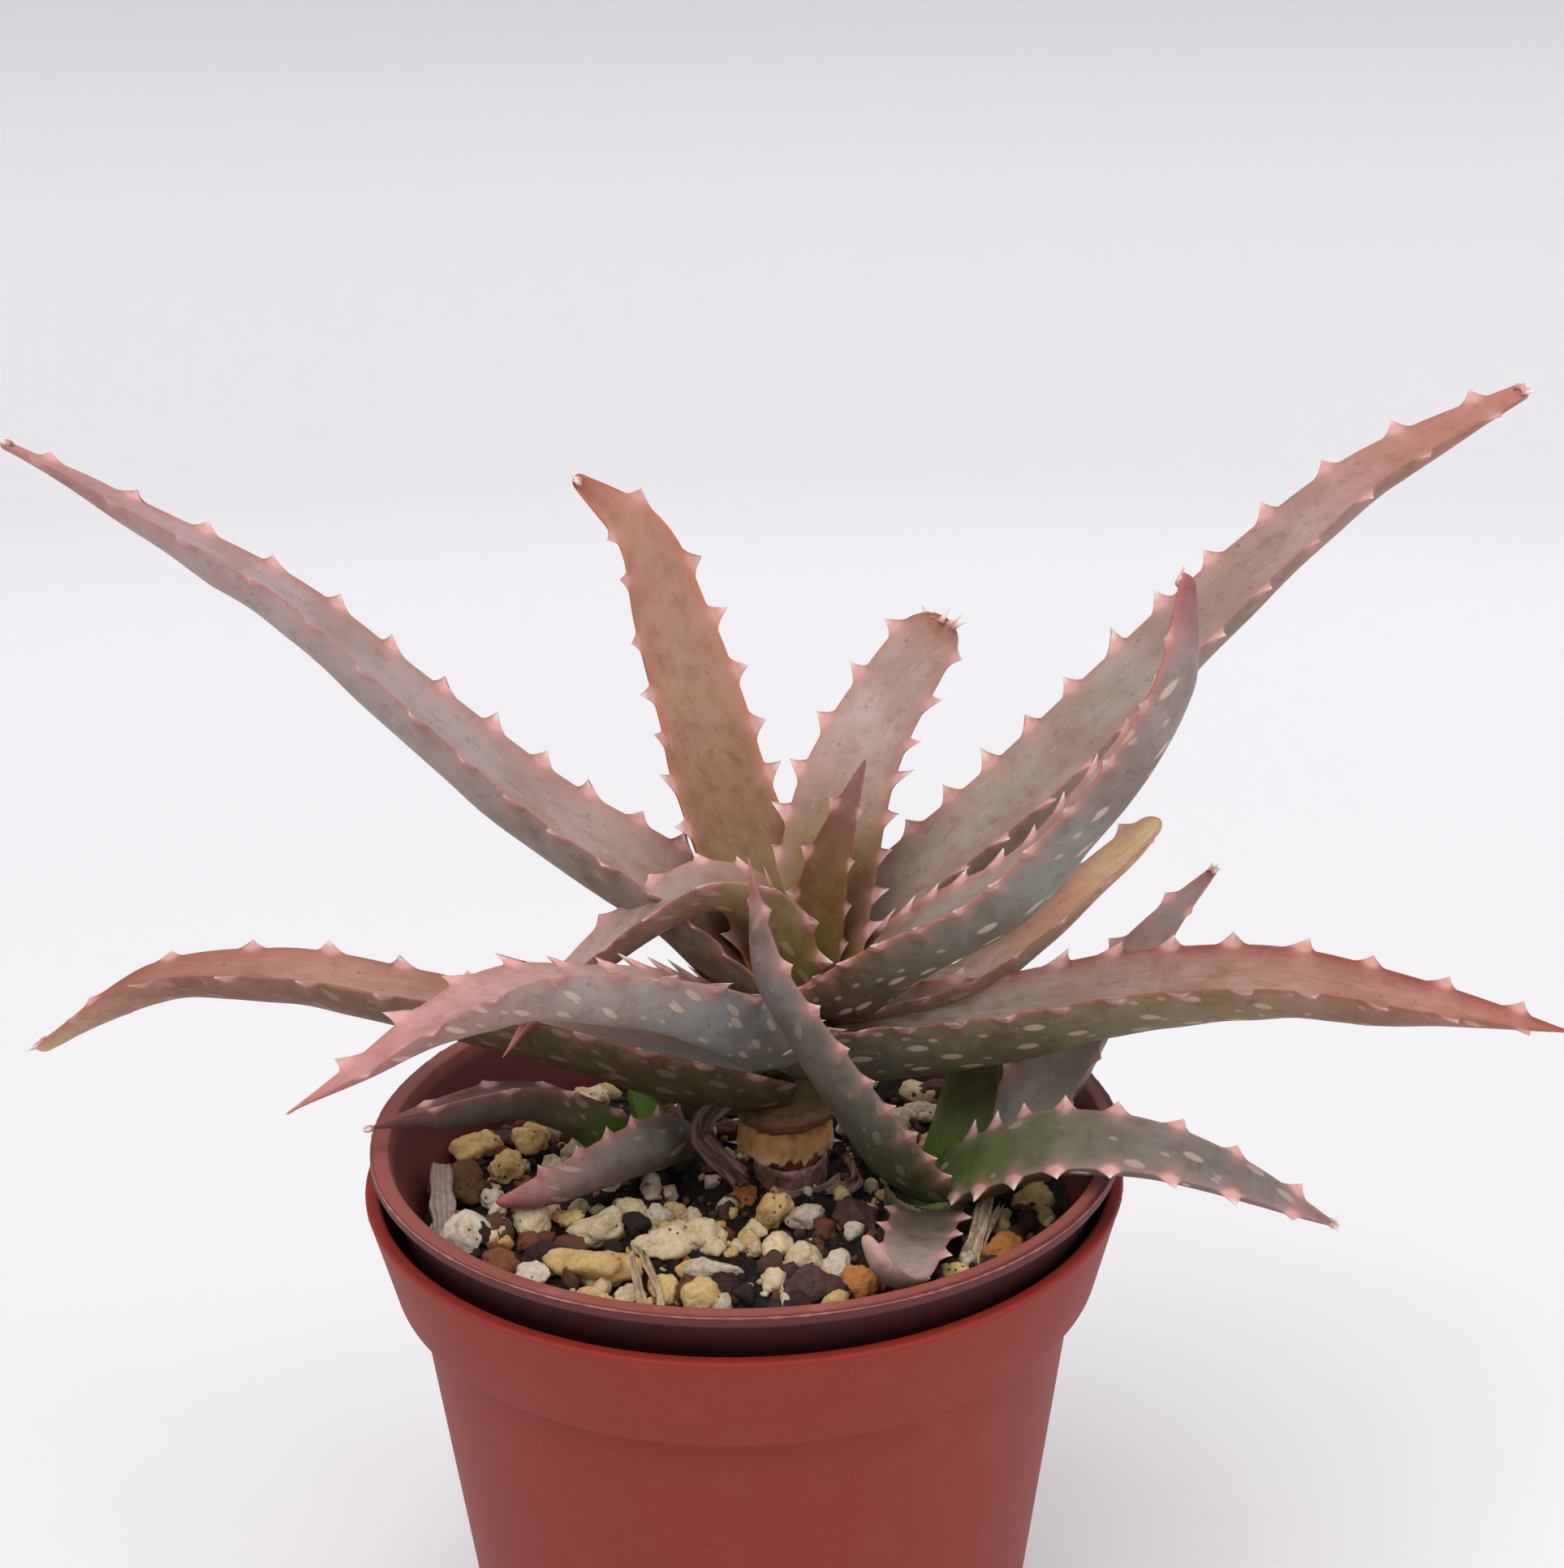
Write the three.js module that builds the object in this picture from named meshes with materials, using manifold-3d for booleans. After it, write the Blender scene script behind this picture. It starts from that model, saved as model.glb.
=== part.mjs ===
// A young hybrid aloe with two offsets, growing in a plastic nursery pot that stands in a second one.
// Millimetres, +Z up. The origin is the centre of the outer pot's underside, and the front is -Y.

import * as THREE from 'three';
import { mergeVertices } from 'three/addons/utils/BufferGeometryUtils.js';
import Module from 'manifold-3d';

const wasm = await Module();
wasm.setup();

// Driving dimensions of the pots
const RIM_DIAMETER = 90;
const POT_HEIGHT = 78;
const WALL = 1.2;
const RIM_WIDTH = 1.7;
const COLLAR_DEPTH = 12.1;
const COLLAR_TAPER = 0.24;
const BODY_TAPER = 0.127;
const COLLAR_STEP = 2.4;
const LEDGE_WIDTH = 2.1;
const LEDGE_RISE = 4.9;
const LEDGE_LIP = 1.3;
const INNER_SHIFT = 0.25;
const DRAIN_HOLES = 8;
const DRAIN_DIAMETER = 6;
const DRAIN_CIRCLE = 19;
const POT_SIDES = 36;

// Clearance between pieces that touch on the real plant
const GAP = 0.3;
// How much larger than a blade its copy is that cuts the neighbours back
const CUT_GROWTH = 0.5;

// Driving dimensions of the potting mix
const SOIL_LEVEL = 72;
const SOIL_ROUGHNESS = 0.7;
const STEM_HOLE_DEPTH = 12;

const COLOURS = {
  terracotta: 0x8e3f33,
  maroon: 0x7c382f,
  mix: 0x6e6250,
  stem: 0x9c6f58,
  grey: 0x857a79,
  brown: 0x8a6a50,
  blueGrey: 0x7f898b,
  rust: 0x96604f,
  green: 0x6c7440,
  straw: 0xb08a5c,
  bright: 0x4c8a2c,
  dusky: 0x655356,
  withered: 0x54423a,
};

// Every blade has a spine from the stem to the tip, its greatest width and thickness, a taper power (high
// is blunt), the share of the width left at the tip, and its turns about the spine in degrees, evenly
// spaced from base to tip. tooth is the height of its marginal teeth and pitch their spacing. neck is
// the share of the width at the base, where it is less than the whole.
const MAIN_LEAVES = [
  { name: 'leaf_heart', colour: 'green', width: 7.4, thickness: 4.4, taper: 1.8, blunt: 0.05,
    roll: [-40, -40], tooth: 1.2, pitch: 5,
    spine: [[8, 5, 99], [10, 5, 112], [12, 6, 118], [15, 8, 125]] },
  { name: 'leaf_back_right', colour: 'grey', width: 14, thickness: 4.4, taper: 2.4, blunt: 0.62,
    roll: [0, 0], tooth: 2.4, pitch: 5,
    spine: [[8, 5, 100], [12, 16, 116], [15.5, 22, 123], [20.5, 26, 130], [26, 29, 137]] },
  { name: 'leaf_arching', colour: 'green', width: 11, thickness: 6, taper: 2.4, blunt: 0,
    roll: [-8, 0], tooth: 2.4, pitch: 6,
    spine: [[8, 5, 100], [5, 2, 111], [-3, 0, 114.5], [-10, 0, 111.5], [-18, 0, 105], [-24, -1, 98.5],
      [-28, -3, 93]] },
  { name: 'leaf_back_left', colour: 'brown', width: 15.4, thickness: 4.4, taper: 3.3, blunt: 0.12,
    roll: [0, 12], tooth: 2.4, pitch: 5.5,
    spine: [[7, 5, 100], [-1, 18, 117], [-4, 23, 127], [-7.5, 26, 138], [-11, 28, 148],
      [-19, 27, 155.5]] },
  { name: 'leaf_upper_right', colour: 'grey', width: 14.2, thickness: 7.4, taper: 2.8, blunt: 0.18,
    roll: [2, -6, -8, -16], tooth: 2.8, pitch: 6.5,
    spine: [[8, 6, 99], [18, 12.5, 107.3], [33.5, 17, 118.5], [48, 21, 131], [63, 25, 144],
      [78.5, 28, 155.5], [97, 30, 164]] },
  { name: 'leaf_upper_left', colour: 'grey', width: 15, thickness: 7.8, taper: 2, blunt: 0.1,
    roll: [6, 2, -2, -4], tooth: 2.9, pitch: 6.5,
    spine: [[8, 5, 98], [-6, 7, 110.5], [-22, 10, 120.5], [-37, 12, 133], [-51, 14, 145], [-67, 16, 154],
      [-84, 18, 162.5]] },
  { name: 'leaf_right_curved', colour: 'blueGrey', width: 14, thickness: 8.2, taper: 3, blunt: 0.2,
    roll: [-2, -6, -12, -14], tooth: 2.4, pitch: 5,
    spine: [[7, 4, 99], [18.5, -5, 110], [27.5, -10, 116.5], [34, -14, 125], [40, -17, 134],
      [44, -19, 143], [45.5, -20, 153]] },
  { name: 'leaf_dying', colour: 'straw', width: 10, thickness: 4.6, taper: 2.6, blunt: 0.35,
    roll: [8, 14, 6, -6], tooth: 1.8, pitch: 6,
    spine: [[10, 5, 96], [18, 6, 96], [27, 8, 98], [35, 11, 102.5], [43, 15, 107.5], [52, 20, 113]] },
  { name: 'leaf_front', colour: 'blueGrey', width: 14, thickness: 8.4, taper: 1.8, blunt: 0,
    roll: [0, -4, -10, -4, 4], tooth: 3.2, pitch: 5.5,
    spine: [[7, 4, 94], [-4, -10, 105], [-14, -18, 110], [-23, -24, 112.5], [-31, -30, 111],
      [-38, -36, 108], [-45, -41, 105]] },
  { name: 'leaf_lower_right', colour: 'rust', width: 15, thickness: 9.6, taper: 2.4, blunt: 0,
    roll: [2, 4, -2, -12, -26], tooth: 2.6, pitch: 6,
    spine: [[7, 4, 93], [12, 0, 97], [29, -2, 99], [45, -4, 102.5], [62, -6, 103.5], [78, -8, 100.5],
      [95, -9, 96]] },
  { name: 'leaf_lower_left', colour: 'rust', width: 14, thickness: 7.4, taper: 3.2, blunt: 0.2,
    roll: [-12, -12, -4, -4], tooth: 2.8, pitch: 7.5,
    spine: [[6, 5, 87], [-9, 5, 91], [-24, 6, 95], [-40, 7, 98.5], [-55, 8, 101], [-72, 9, 99.5],
      [-86, 10, 90]] },
];

const RIGHT_OFFSET_LEAVES = [
  { name: 'right_offset_heart', colour: 'bright', width: 7.2, thickness: 3.6, taper: 5, blunt: 0.1,
    roll: [0, 0], tooth: 0, pitch: 5,
    spine: [[23, -2, 74], [26, 0, 82], [28.5, 6, 89], [29.5, 10, 94]] },
  { name: 'right_offset_front', colour: 'blueGrey', width: 10.5, thickness: 4.6, taper: 2, blunt: 0,
    roll: [0, 0], tooth: 1.6, pitch: 5,
    spine: [[22, -4, 76], [15, -10, 88], [8, -15.5, 101], [3, -19.5, 112], [1, -22, 124]] },
  { name: 'right_offset_right', colour: 'dusky', width: 8.6, thickness: 5.6, taper: 3, blunt: 0.05,
    roll: [-26, -30, -26, -20], neck: 0.85, tooth: 1.8, pitch: 5.5,
    spine: [[23, -4, 77], [28.5, -11, 83], [35, -16, 87.5], [44.5, -19, 88], [55, -20.5, 84.6],
      [66, -21, 78.5]] },
  { name: 'right_offset_back', colour: 'blueGrey', width: 11.4, thickness: 4.4, taper: 2.2, blunt: 0.1,
    roll: [0, 0], tooth: 1.8, pitch: 6,
    spine: [[24, -2, 75], [36, 4, 85], [43, 9, 93], [51.5, 14, 101], [59, 17, 107.5]] },
  { name: 'right_offset_low', colour: 'grey', width: 8, thickness: 2.6, taper: 2.5, blunt: 0.15,
    roll: [0, 0], tooth: 1.3, pitch: 6,
    spine: [[22, -6, 75], [19, -19, 77], [17, -28, 78], [14.5, -31.5, 81], [12.5, -31, 84.5]] },
];

const LEFT_OFFSET_LEAVES = [
  { name: 'left_offset_heart', colour: 'bright', width: 7, thickness: 3, taper: 2.6, blunt: 0.1,
    roll: [0, 0], tooth: 0, pitch: 5,
    spine: [[-9, 12, 72], [-12, 13, 78], [-14, 15, 82]] },
  { name: 'left_offset_back', colour: 'grey', width: 5, thickness: 2.2, taper: 2, blunt: 0.1,
    roll: [0, 0], tooth: 0, pitch: 5,
    spine: [[-8, 13, 72], [-7, 14, 77], [-6, 16, 82]] },
  { name: 'left_offset_left', colour: 'dusky', width: 7.5, thickness: 6.4, taper: 2.8, blunt: 0,
    roll: [-14, -14], neck: 0.6, tooth: 1.2, pitch: 7,
    spine: [[-10, 11, 73], [-15, 9, 79], [-22, 6, 84.5], [-29, 2, 87], [-37, -3, 87], [-44, -7, 86]] },
  { name: 'left_offset_front', colour: 'dusky', width: 7.4, thickness: 5.4, taper: 3.4, blunt: 0.15,
    roll: [-74, -60], neck: 0.7, tooth: 1.8, pitch: 3.4,
    spine: [[-8, 10, 75], [-11, 5, 78.5], [-16, 0, 79], [-22, -5, 78.5], [-29, -9, 77.5]] },
];

const WITHERED_LEAF = {
  name: 'withered_leaf', colour: 'withered', width: 3.4, thickness: 1.2, taper: 4, blunt: 0.4,
  roll: [0, 40], tooth: 0, pitch: 5,
  spine: [[2, 1, 87], [-3, 0, 85], [-5, -1, 81], [-1, -3, 77]],
};

// Stems: the points of the axis, each with its radius
const MAIN_STEM = [[5.6, 6, 61, 4.1], [5.6, 6, 75.5, 4.1], [5.4, 6, 76.5, 4.6], [5, 6, 78, 5.6],
  [5, 6, 80, 5.8], [5.4, 6, 81, 5], [5.6, 6, 83, 5.4], [6, 5.5, 86, 5], [7.5, 5, 94, 4.2], [8, 5, 98, 3.2]];
const RIGHT_STEM = [[22, -4, 61, 4], [22, -4, 70, 4.6], [22, -4, 74, 5], [23, -4, 76.5, 3.4]];
const LEFT_STEM = [[-9, 11, 61, 3], [-9, 11, 70, 3.2], [-9, 11, 73, 3.4], [-9, 11, 75, 2.4]];
const STEM_SIDES = 14;
const SHEATH_TEETH = [{ angle: 200, z: 77.5, length: 1.4 }, { angle: 185, z: 79.5, length: 1.2 },
  { angle: 340, z: 77.5, length: 1.5 }, { angle: 100, z: 78, length: 1.2 }];
const SHEATH_TOOTH_RADIUS = 0.7;

// How every blade is shaped: the share of its length over which the neck widens, the least share of the
// width, the share of the thickness lost by the tip, the share that the thickness starts with and the
// millimetres over which it fills out, the blunt cap at the tip, and the steps of a blade with no teeth
const NECK_END = 0.3;
const LEAST_WIDTH = 0.03;
const THINNING = 0.6;
const BASE_THICKNESS = 0.6;
const BASE_RUN = 20;
const TIP_CAP = 0.8;
const PLAIN_STEPS = 6;

// Teeth: where the first and the last may stand, the spacing in pitches at the base and what it gains by
// the tip, the tooth's half foot in pitches and at most, and how far the foot reaches beyond the point
const FIRST_TOOTH = 5;
const LAST_TOOTH = 3;
const TOOTH_SPACING = 0.8;
const SPACING_GAIN = 0.8;
const FOOT_SHARE = 0.36;
const FOOT_MOST = 2.1;
const FORE_FOOT = 0.8;
// Their lean towards the tip and the upper side, their part at the thin end, and their scatter along it
const TOOTH_LEAN = 0.3;
const TOOTH_LIFT = 0.25;
const TIP_TOOTH = 0.45;
const TOOTH_SCATTER = 0.7;

// Stones that lie on the mix: centre x and y, then length, width and height
const STONES = [
  [-33, -10, 6, 5.6, 5], [-17, -17, 9.5, 6, 4.5], [-17, -9, 7.5, 4.8, 4], [-10, -15, 7.5, 5, 4.2],
  [-5, -13, 6, 4.4, 4.4], [-1, -8, 4.2, 4, 4], [2, -6, 5, 6.4, 5.4], [-5, -25, 5.4, 4.8, 4.4],
  [6, -17, 5.4, 4.2, 4], [3, -14, 5, 3.6, 3.6], [10, -18, 4, 4, 3.8], [12, -23, 5, 5, 4.2],
  [7, -24, 7.4, 5, 4.4], [-25, -7, 4.8, 4.6, 4.2], [-30, 7, 4.6, 5.4, 4.6], [-31.4, 14.4, 7, 5, 4.6],
  [-22, 9, 5.6, 4.4, 4.2], [26, 23, 7, 5, 5], [-22, -12, 5, 4, 3.6], [-24, -20, 4.4, 4, 3.4],
  [-4, -19, 7, 4, 4], [-9, -23, 4.4, 4.2, 4], [31, -8, 5, 5, 4.4],
];
const STONE_SEED = 11;

// Smaller stones between them: how many, the least length and its range, the least width as a share of the
// length and its range, the height as a share, and how far all of them keep from the wall
const LOOSE_STONES = 28;
const LOOSE_LENGTH = [3.6, 3];
const LOOSE_WIDTH = [0.7, 0.25];
const LOOSE_HEIGHT = 0.75;
const WALL_CLEARANCE = 3.4;
// The share of a stone's height by which its centre stands above the mix, and the reach of its corners
const STONE_RISE = 0.2;
const CORNER_REACH = [0.88, 0.3];

// A bit of bark and dry straws that stand in the mix: from, to, width and thickness
const SCRAPS = [
  { from: [-34.4, -9, 71], to: [-35.6, 3, 77], width: 3.2, thickness: 1.8 },
  { from: [-11, -27, 71], to: [-13, -20, 77], width: 1.6, thickness: 0.8 },
  { from: [-9.6, -27, 71], to: [-10.4, -21, 76.5], width: 1.4, thickness: 0.8 },
  { from: [24, -18, 70.5], to: [28, -8, 75.5], width: 2.6, thickness: 1 },
];

// The blade's cross-section, anticlockwise seen from the base: across in half widths, up in thicknesses
const SECTION = [[-1, 0], [-0.78, -0.15], [0.78, -0.15], [1, 0], [0.9, -0.32], [0.42, -0.95],
  [-0.42, -0.95], [-0.9, -0.32]];

// A small repeatable random draw, so that every build is the same
function randomDraw(seed) {
  let state = seed * 2654435761 % 4294967296;
  return () => {
    state = (state * 1664525 + 1013904223) % 4294967296;
    return state / 4294967296;
  };
}

// A closed skin over rings of equal count, with a point at each end
function skin(rings, start, end) {
  const count = rings[0].length;
  const points = [...rings.flat(), start, end];
  const startIndex = points.length - 2;
  const endIndex = points.length - 1;
  const lastRing = (rings.length - 1) * count;
  const index = [];
  for (let j = 0; j < count; j += 1) {
    const k = (j + 1) % count;
    index.push(startIndex, k, j);
    index.push(endIndex, lastRing + j, lastRing + k);
    for (let i = 0; i < rings.length - 1; i += 1) {
      const a = i * count;
      const b = a + count;
      index.push(a + j, a + k, b + j, a + k, b + k, b + j);
    }
  }
  const geometry = new THREE.BufferGeometry();
  const flat = points.flatMap((p) => p.toArray());
  geometry.setAttribute('position', new THREE.Float32BufferAttribute(flat, 3));
  geometry.setIndex(signedVolume(points, index) > 0 ? index : index.reverse());
  return geometry;
}

function signedVolume(points, index) {
  let total = 0;
  for (let i = 0; i < index.length; i += 3) {
    const [a, b, c] = [points[index[i]], points[index[i + 1]], points[index[i + 2]]];
    total += a.dot(new THREE.Vector3().crossVectors(b, c));
  }
  return total / 6;
}

// Solids for the joins and cuts
function solidOf(geometry) {
  const bare = geometry.clone();
  bare.deleteAttribute('normal');
  bare.deleteAttribute('uv');
  const merged = mergeVertices(bare, 1e-4);
  const vertProperties = new Float32Array(merged.attributes.position.array);
  const triVerts = new Uint32Array(merged.index.array);
  return new wasm.Manifold(new wasm.Mesh({ numProp: 3, vertProperties, triVerts }));
}

function largestPiece(solid) {
  const pieces = solid.decompose();
  pieces.sort((a, b) => b.volume() - a.volume());
  return pieces[0];
}

function geometryOf(solid) {
  const mesh = solid.getMesh();
  const geometry = new THREE.BufferGeometry();
  geometry.setAttribute('position', new THREE.Float32BufferAttribute(mesh.vertProperties, 3));
  geometry.setIndex([...mesh.triVerts]);
  geometry.computeVertexNormals();
  return geometry;
}

function meshOf(name, geometry, colour, roughness = 0.6) {
  const material = new THREE.MeshStandardMaterial({ color: COLOURS[colour], roughness, metalness: 0 });
  const mesh = new THREE.Mesh(geometry, material);
  mesh.name = name;
  return mesh;
}

// The value at share t along a list of evenly spaced values
function between(values, t) {
  const place = t * (values.length - 1);
  const i = Math.min(Math.floor(place), values.length - 2);
  return values[i] + (values[i + 1] - values[i]) * (place - i);
}

// Where the teeth stand along a blade: wider apart towards the tip, each with its own small shift
function toothRows(length, pitch, draw) {
  const rows = [];
  let at = FIRST_TOOTH;
  while (at < length - LAST_TOOTH) {
    const shift = [draw() - 0.5, draw() - 0.5];
    const size = [0.8 + 0.4 * draw(), 0.8 + 0.4 * draw()];
    rows.push({ at, shift, size });
    at += pitch * (TOOTH_SPACING + SPACING_GAIN * at / length);
  }
  return rows;
}

// A thick blade with a shallow channel above, a rounded keel below and teeth on both margins. grow makes
// it that much larger all round, for the cut that keeps a neighbour clear.
function blade(leaf, seed, grow = 0) {
  const { width, thickness, taper, blunt, roll, tooth, pitch, neck = 1 } = leaf;
  const knots = leaf.spine.map((p) => new THREE.Vector3(...p));
  const spine = new THREE.CatmullRomCurve3(knots, false, 'catmullrom');
  const length = spine.getLength();
  const foot = spine.getPoint(0);
  const heading = spine.getPoint(1).sub(foot).setZ(0).normalize();
  const level = new THREE.Vector3(heading.y, -heading.x, 0);
  const draw = randomDraw(seed);
  const toothFoot = Math.min(FOOT_MOST, FOOT_SHARE * pitch);

  const ring = (at, teeth) => {
    const t = Math.min(Math.max(at / length, 0), 1);
    const centre = spine.getPointAt(t);
    const along = spine.getTangentAt(t);
    const across = level.clone().addScaledVector(along, -level.dot(along)).normalize();
    across.applyAxisAngle(along, -THREE.MathUtils.degToRad(between(roll, t)));
    const up = new THREE.Vector3().crossVectors(across, along);
    const taperShare = blunt + (1 - blunt) * Math.max(1 - t ** taper, LEAST_WIDTH);
    const narrow = taperShare * Math.min(1, neck + (1 - neck) * t / NECK_END);
    const half = width / 2 * narrow;
    const fill = Math.min(1, BASE_THICKNESS + at / BASE_RUN) * Math.min(1, narrow * 2);
    const deep = thickness * (1 - THINNING * t) * fill;
    return SECTION.map(([s, n]) => {
      const side = s > 0 ? 1 : 0;
      const margin = Math.abs(s) === 1;
      const toothed = margin && teeth;
      const size = toothed ? teeth.size[side] * tooth * (TIP_TOOTH + (1 - TIP_TOOTH) * narrow) : 0;
      const shift = toothed ? teeth.shift[side] * toothFoot * TOOTH_SCATTER : 0;
      const lower = n < -0.3;
      const outwards = Math.abs(s) * half + size + grow * (margin ? 1.5 : 1);
      return centre.clone()
        .addScaledVector(across, Math.sign(s) * outwards)
        .addScaledVector(up, n * deep + TOOTH_LIFT * size + (lower ? -grow : grow))
        .addScaledVector(along, TOOTH_LEAN * size + shift);
    });
  };

  const rings = [ring(0)];
  if (tooth > 0) {
    const reach = 1.5 * grow;
    for (const teeth of toothRows(length, pitch, draw)) {
      rings.push(ring(teeth.at - toothFoot - reach), ring(teeth.at, teeth));
      rings.push(ring(teeth.at + toothFoot * FORE_FOOT + reach));
    }
  } else {
    for (let i = 1; i < PLAIN_STEPS; i += 1) {
      rings.push(ring(length * i / PLAIN_STEPS));
    }
  }
  rings.push(ring(length - TIP_CAP));
  const tip = spine.getPointAt(1).addScaledVector(spine.getTangentAt(1), grow);
  return skin(rings, foot.addScaledVector(spine.getTangentAt(0), -grow), tip);
}

// A stem as rings of its own radius, standing square to Z
function stem(points, grow = 0) {
  const rings = points.map(([x, y, z, radius]) => {
    const ring = [];
    for (let j = 0; j < STEM_SIDES; j += 1) {
      const angle = j / STEM_SIDES * 2 * Math.PI;
      const reach = radius + grow;
      ring.push(new THREE.Vector3(x + reach * Math.cos(angle), y + reach * Math.sin(angle), z));
    }
    return ring;
  });
  const [lowX, lowY, lowZ] = points[0];
  const [highX, highY, highZ] = points[points.length - 1];
  const bottom = new THREE.Vector3(lowX, lowY, lowZ - grow);
  const top = new THREE.Vector3(highX, highY, highZ + grow);
  return skin(rings, bottom, top);
}

// The stem with the teeth that the dry leaf base round it keeps
function toothedStem(points) {
  let solid = solidOf(stem(points));
  for (const { angle, z, length } of SHEATH_TEETH) {
    const [x, y, , radius] = points.find((p) => p[2] >= z);
    const tooth = new THREE.ConeGeometry(SHEATH_TOOTH_RADIUS, length + 1, 4);
    tooth.rotateZ(-Math.PI / 2);
    tooth.translate(radius + (length - 1) / 2, 0, 0);
    tooth.rotateZ(THREE.MathUtils.degToRad(angle));
    tooth.translate(x, y, z);
    solid = solid.add(solidOf(tooth));
  }
  return solid;
}

// The blades of one rosette, youngest first. Each older base is cut back from the stem and from the
// younger blades that it clasps.
function rosette(leaves, stemPoints, seed, others = []) {
  const taken = [solidOf(stem(stemPoints, GAP)), ...others];
  const blades = [];
  leaves.forEach((leaf, i) => {
    let solid = solidOf(blade(leaf, seed + i));
    for (const neighbour of taken) {
      solid = solid.subtract(neighbour);
    }
    taken.push(solidOf(blade(leaf, seed + i, CUT_GROWTH)));
    blades.push(meshOf(leaf.name, geometryOf(largestPiece(solid)), leaf.colour));
  });
  return { blades, taken };
}

function lathe(profile) {
  const geometry = new THREE.LatheGeometry(profile.map(([r, z]) => new THREE.Vector2(r, z)), POT_SIDES);
  geometry.rotateX(Math.PI / 2);
  return geometry;
}

// Radii of the outer pot's wall, outside
const RIM_RADIUS = RIM_DIAMETER / 2;
const COLLAR_FOOT = POT_HEIGHT - COLLAR_DEPTH;
const COLLAR_FOOT_RADIUS = RIM_RADIUS - COLLAR_TAPER * COLLAR_DEPTH;
const BODY_TOP_RADIUS = COLLAR_FOOT_RADIUS - COLLAR_STEP;
const BASE_RADIUS = BODY_TOP_RADIUS - BODY_TAPER * COLLAR_FOOT;

// The inner pot stands on the outer pot's floor, and its ledge stands above the outer rim
const INNER_BASE = WALL + GAP;
const INNER_HEIGHT = POT_HEIGHT + LEDGE_RISE - INNER_BASE;
const INNER_BASE_RADIUS = BASE_RADIUS - 2 * WALL;
const INNER_COLLAR_FOOT = 68.5;
const INNER_BODY_TOP_RADIUS = INNER_BASE_RADIUS + BODY_TAPER * INNER_COLLAR_FOOT;
const INNER_COLLAR_TOP_RADIUS = RIM_RADIUS - RIM_WIDTH - GAP;
const INNER_COLLAR_DEPTH = INNER_HEIGHT - INNER_COLLAR_FOOT;
const INNER_COLLAR_FOOT_RADIUS = INNER_COLLAR_TOP_RADIUS - COLLAR_TAPER * INNER_COLLAR_DEPTH;

function drilled(potSolid) {
  let solid = potSolid;
  for (let i = 0; i < DRAIN_HOLES; i += 1) {
    const angle = (i + 0.5) / DRAIN_HOLES * 2 * Math.PI;
    const drill = new THREE.CylinderGeometry(DRAIN_DIAMETER / 2, DRAIN_DIAMETER / 2, WALL * 4, 10);
    drill.rotateX(Math.PI / 2);
    drill.translate(DRAIN_CIRCLE * Math.cos(angle), DRAIN_CIRCLE * Math.sin(angle), WALL / 2);
    solid = solid.subtract(solidOf(drill));
  }
  return solid;
}

function outerPot() {
  const profile = [
    [0, 0],
    [BASE_RADIUS, 0],
    [BODY_TOP_RADIUS, COLLAR_FOOT],
    [COLLAR_FOOT_RADIUS, COLLAR_FOOT],
    [RIM_RADIUS, POT_HEIGHT],
    [RIM_RADIUS - RIM_WIDTH, POT_HEIGHT],
    [COLLAR_FOOT_RADIUS - WALL, COLLAR_FOOT + WALL],
    [BODY_TOP_RADIUS - WALL, COLLAR_FOOT - WALL],
    [BASE_RADIUS - WALL, WALL],
    [0, WALL],
  ];
  return meshOf('outer_pot', geometryOf(drilled(solidOf(lathe(profile)))), 'terracotta', 0.55);
}

function innerPot() {
  const ledgeRadius = INNER_COLLAR_TOP_RADIUS + LEDGE_LIP;
  const profile = [
    [0, 0],
    [INNER_BASE_RADIUS, 0],
    [INNER_BODY_TOP_RADIUS, INNER_COLLAR_FOOT],
    [INNER_COLLAR_FOOT_RADIUS, INNER_COLLAR_FOOT],
    [INNER_COLLAR_TOP_RADIUS, INNER_HEIGHT - WALL],
    [ledgeRadius, INNER_HEIGHT - WALL],
    [ledgeRadius, INNER_HEIGHT],
    [ledgeRadius - LEDGE_WIDTH, INNER_HEIGHT],
    [INNER_COLLAR_FOOT_RADIUS - WALL, INNER_COLLAR_FOOT + WALL],
    [INNER_BODY_TOP_RADIUS - WALL, INNER_COLLAR_FOOT - WALL],
    [INNER_BASE_RADIUS - WALL, WALL],
    [0, WALL],
  ];
  const pot = meshOf('inner_pot', geometryOf(drilled(solidOf(lathe(profile)))), 'maroon', 0.55);
  pot.position.set(INNER_SHIFT, 0, INNER_BASE);
  return pot;
}

// An angular stone: a coarse ball with its corners drawn in and out
function stone(x, y, z, size, turn, draw) {
  const ball = new THREE.IcosahedronGeometry(0.5, 0);
  ball.deleteAttribute('normal');
  ball.deleteAttribute('uv');
  const geometry = mergeVertices(ball, 1e-4);
  const corners = geometry.attributes.position;
  for (let i = 0; i < corners.count; i += 1) {
    const reach = CORNER_REACH[0] + CORNER_REACH[1] * draw();
    corners.setXYZ(i, corners.getX(i) * reach, corners.getY(i) * reach, corners.getZ(i) * reach);
  }
  geometry.scale(...size);
  geometry.rotateZ(turn);
  geometry.translate(x, y, z);
  return solidOf(geometry);
}

// A straight strip, level across its width
function strip({ from, to, width, thickness }) {
  const start = new THREE.Vector3(...from);
  const run = new THREE.Vector3(...to).sub(start);
  const box = new THREE.BoxGeometry(run.length(), width, thickness);
  box.translate(run.length() / 2, 0, 0);
  box.rotateY(-Math.asin(run.z / run.length()));
  box.rotateZ(Math.atan2(run.y, run.x));
  box.translate(start.x, start.y, start.z);
  return box;
}

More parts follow.
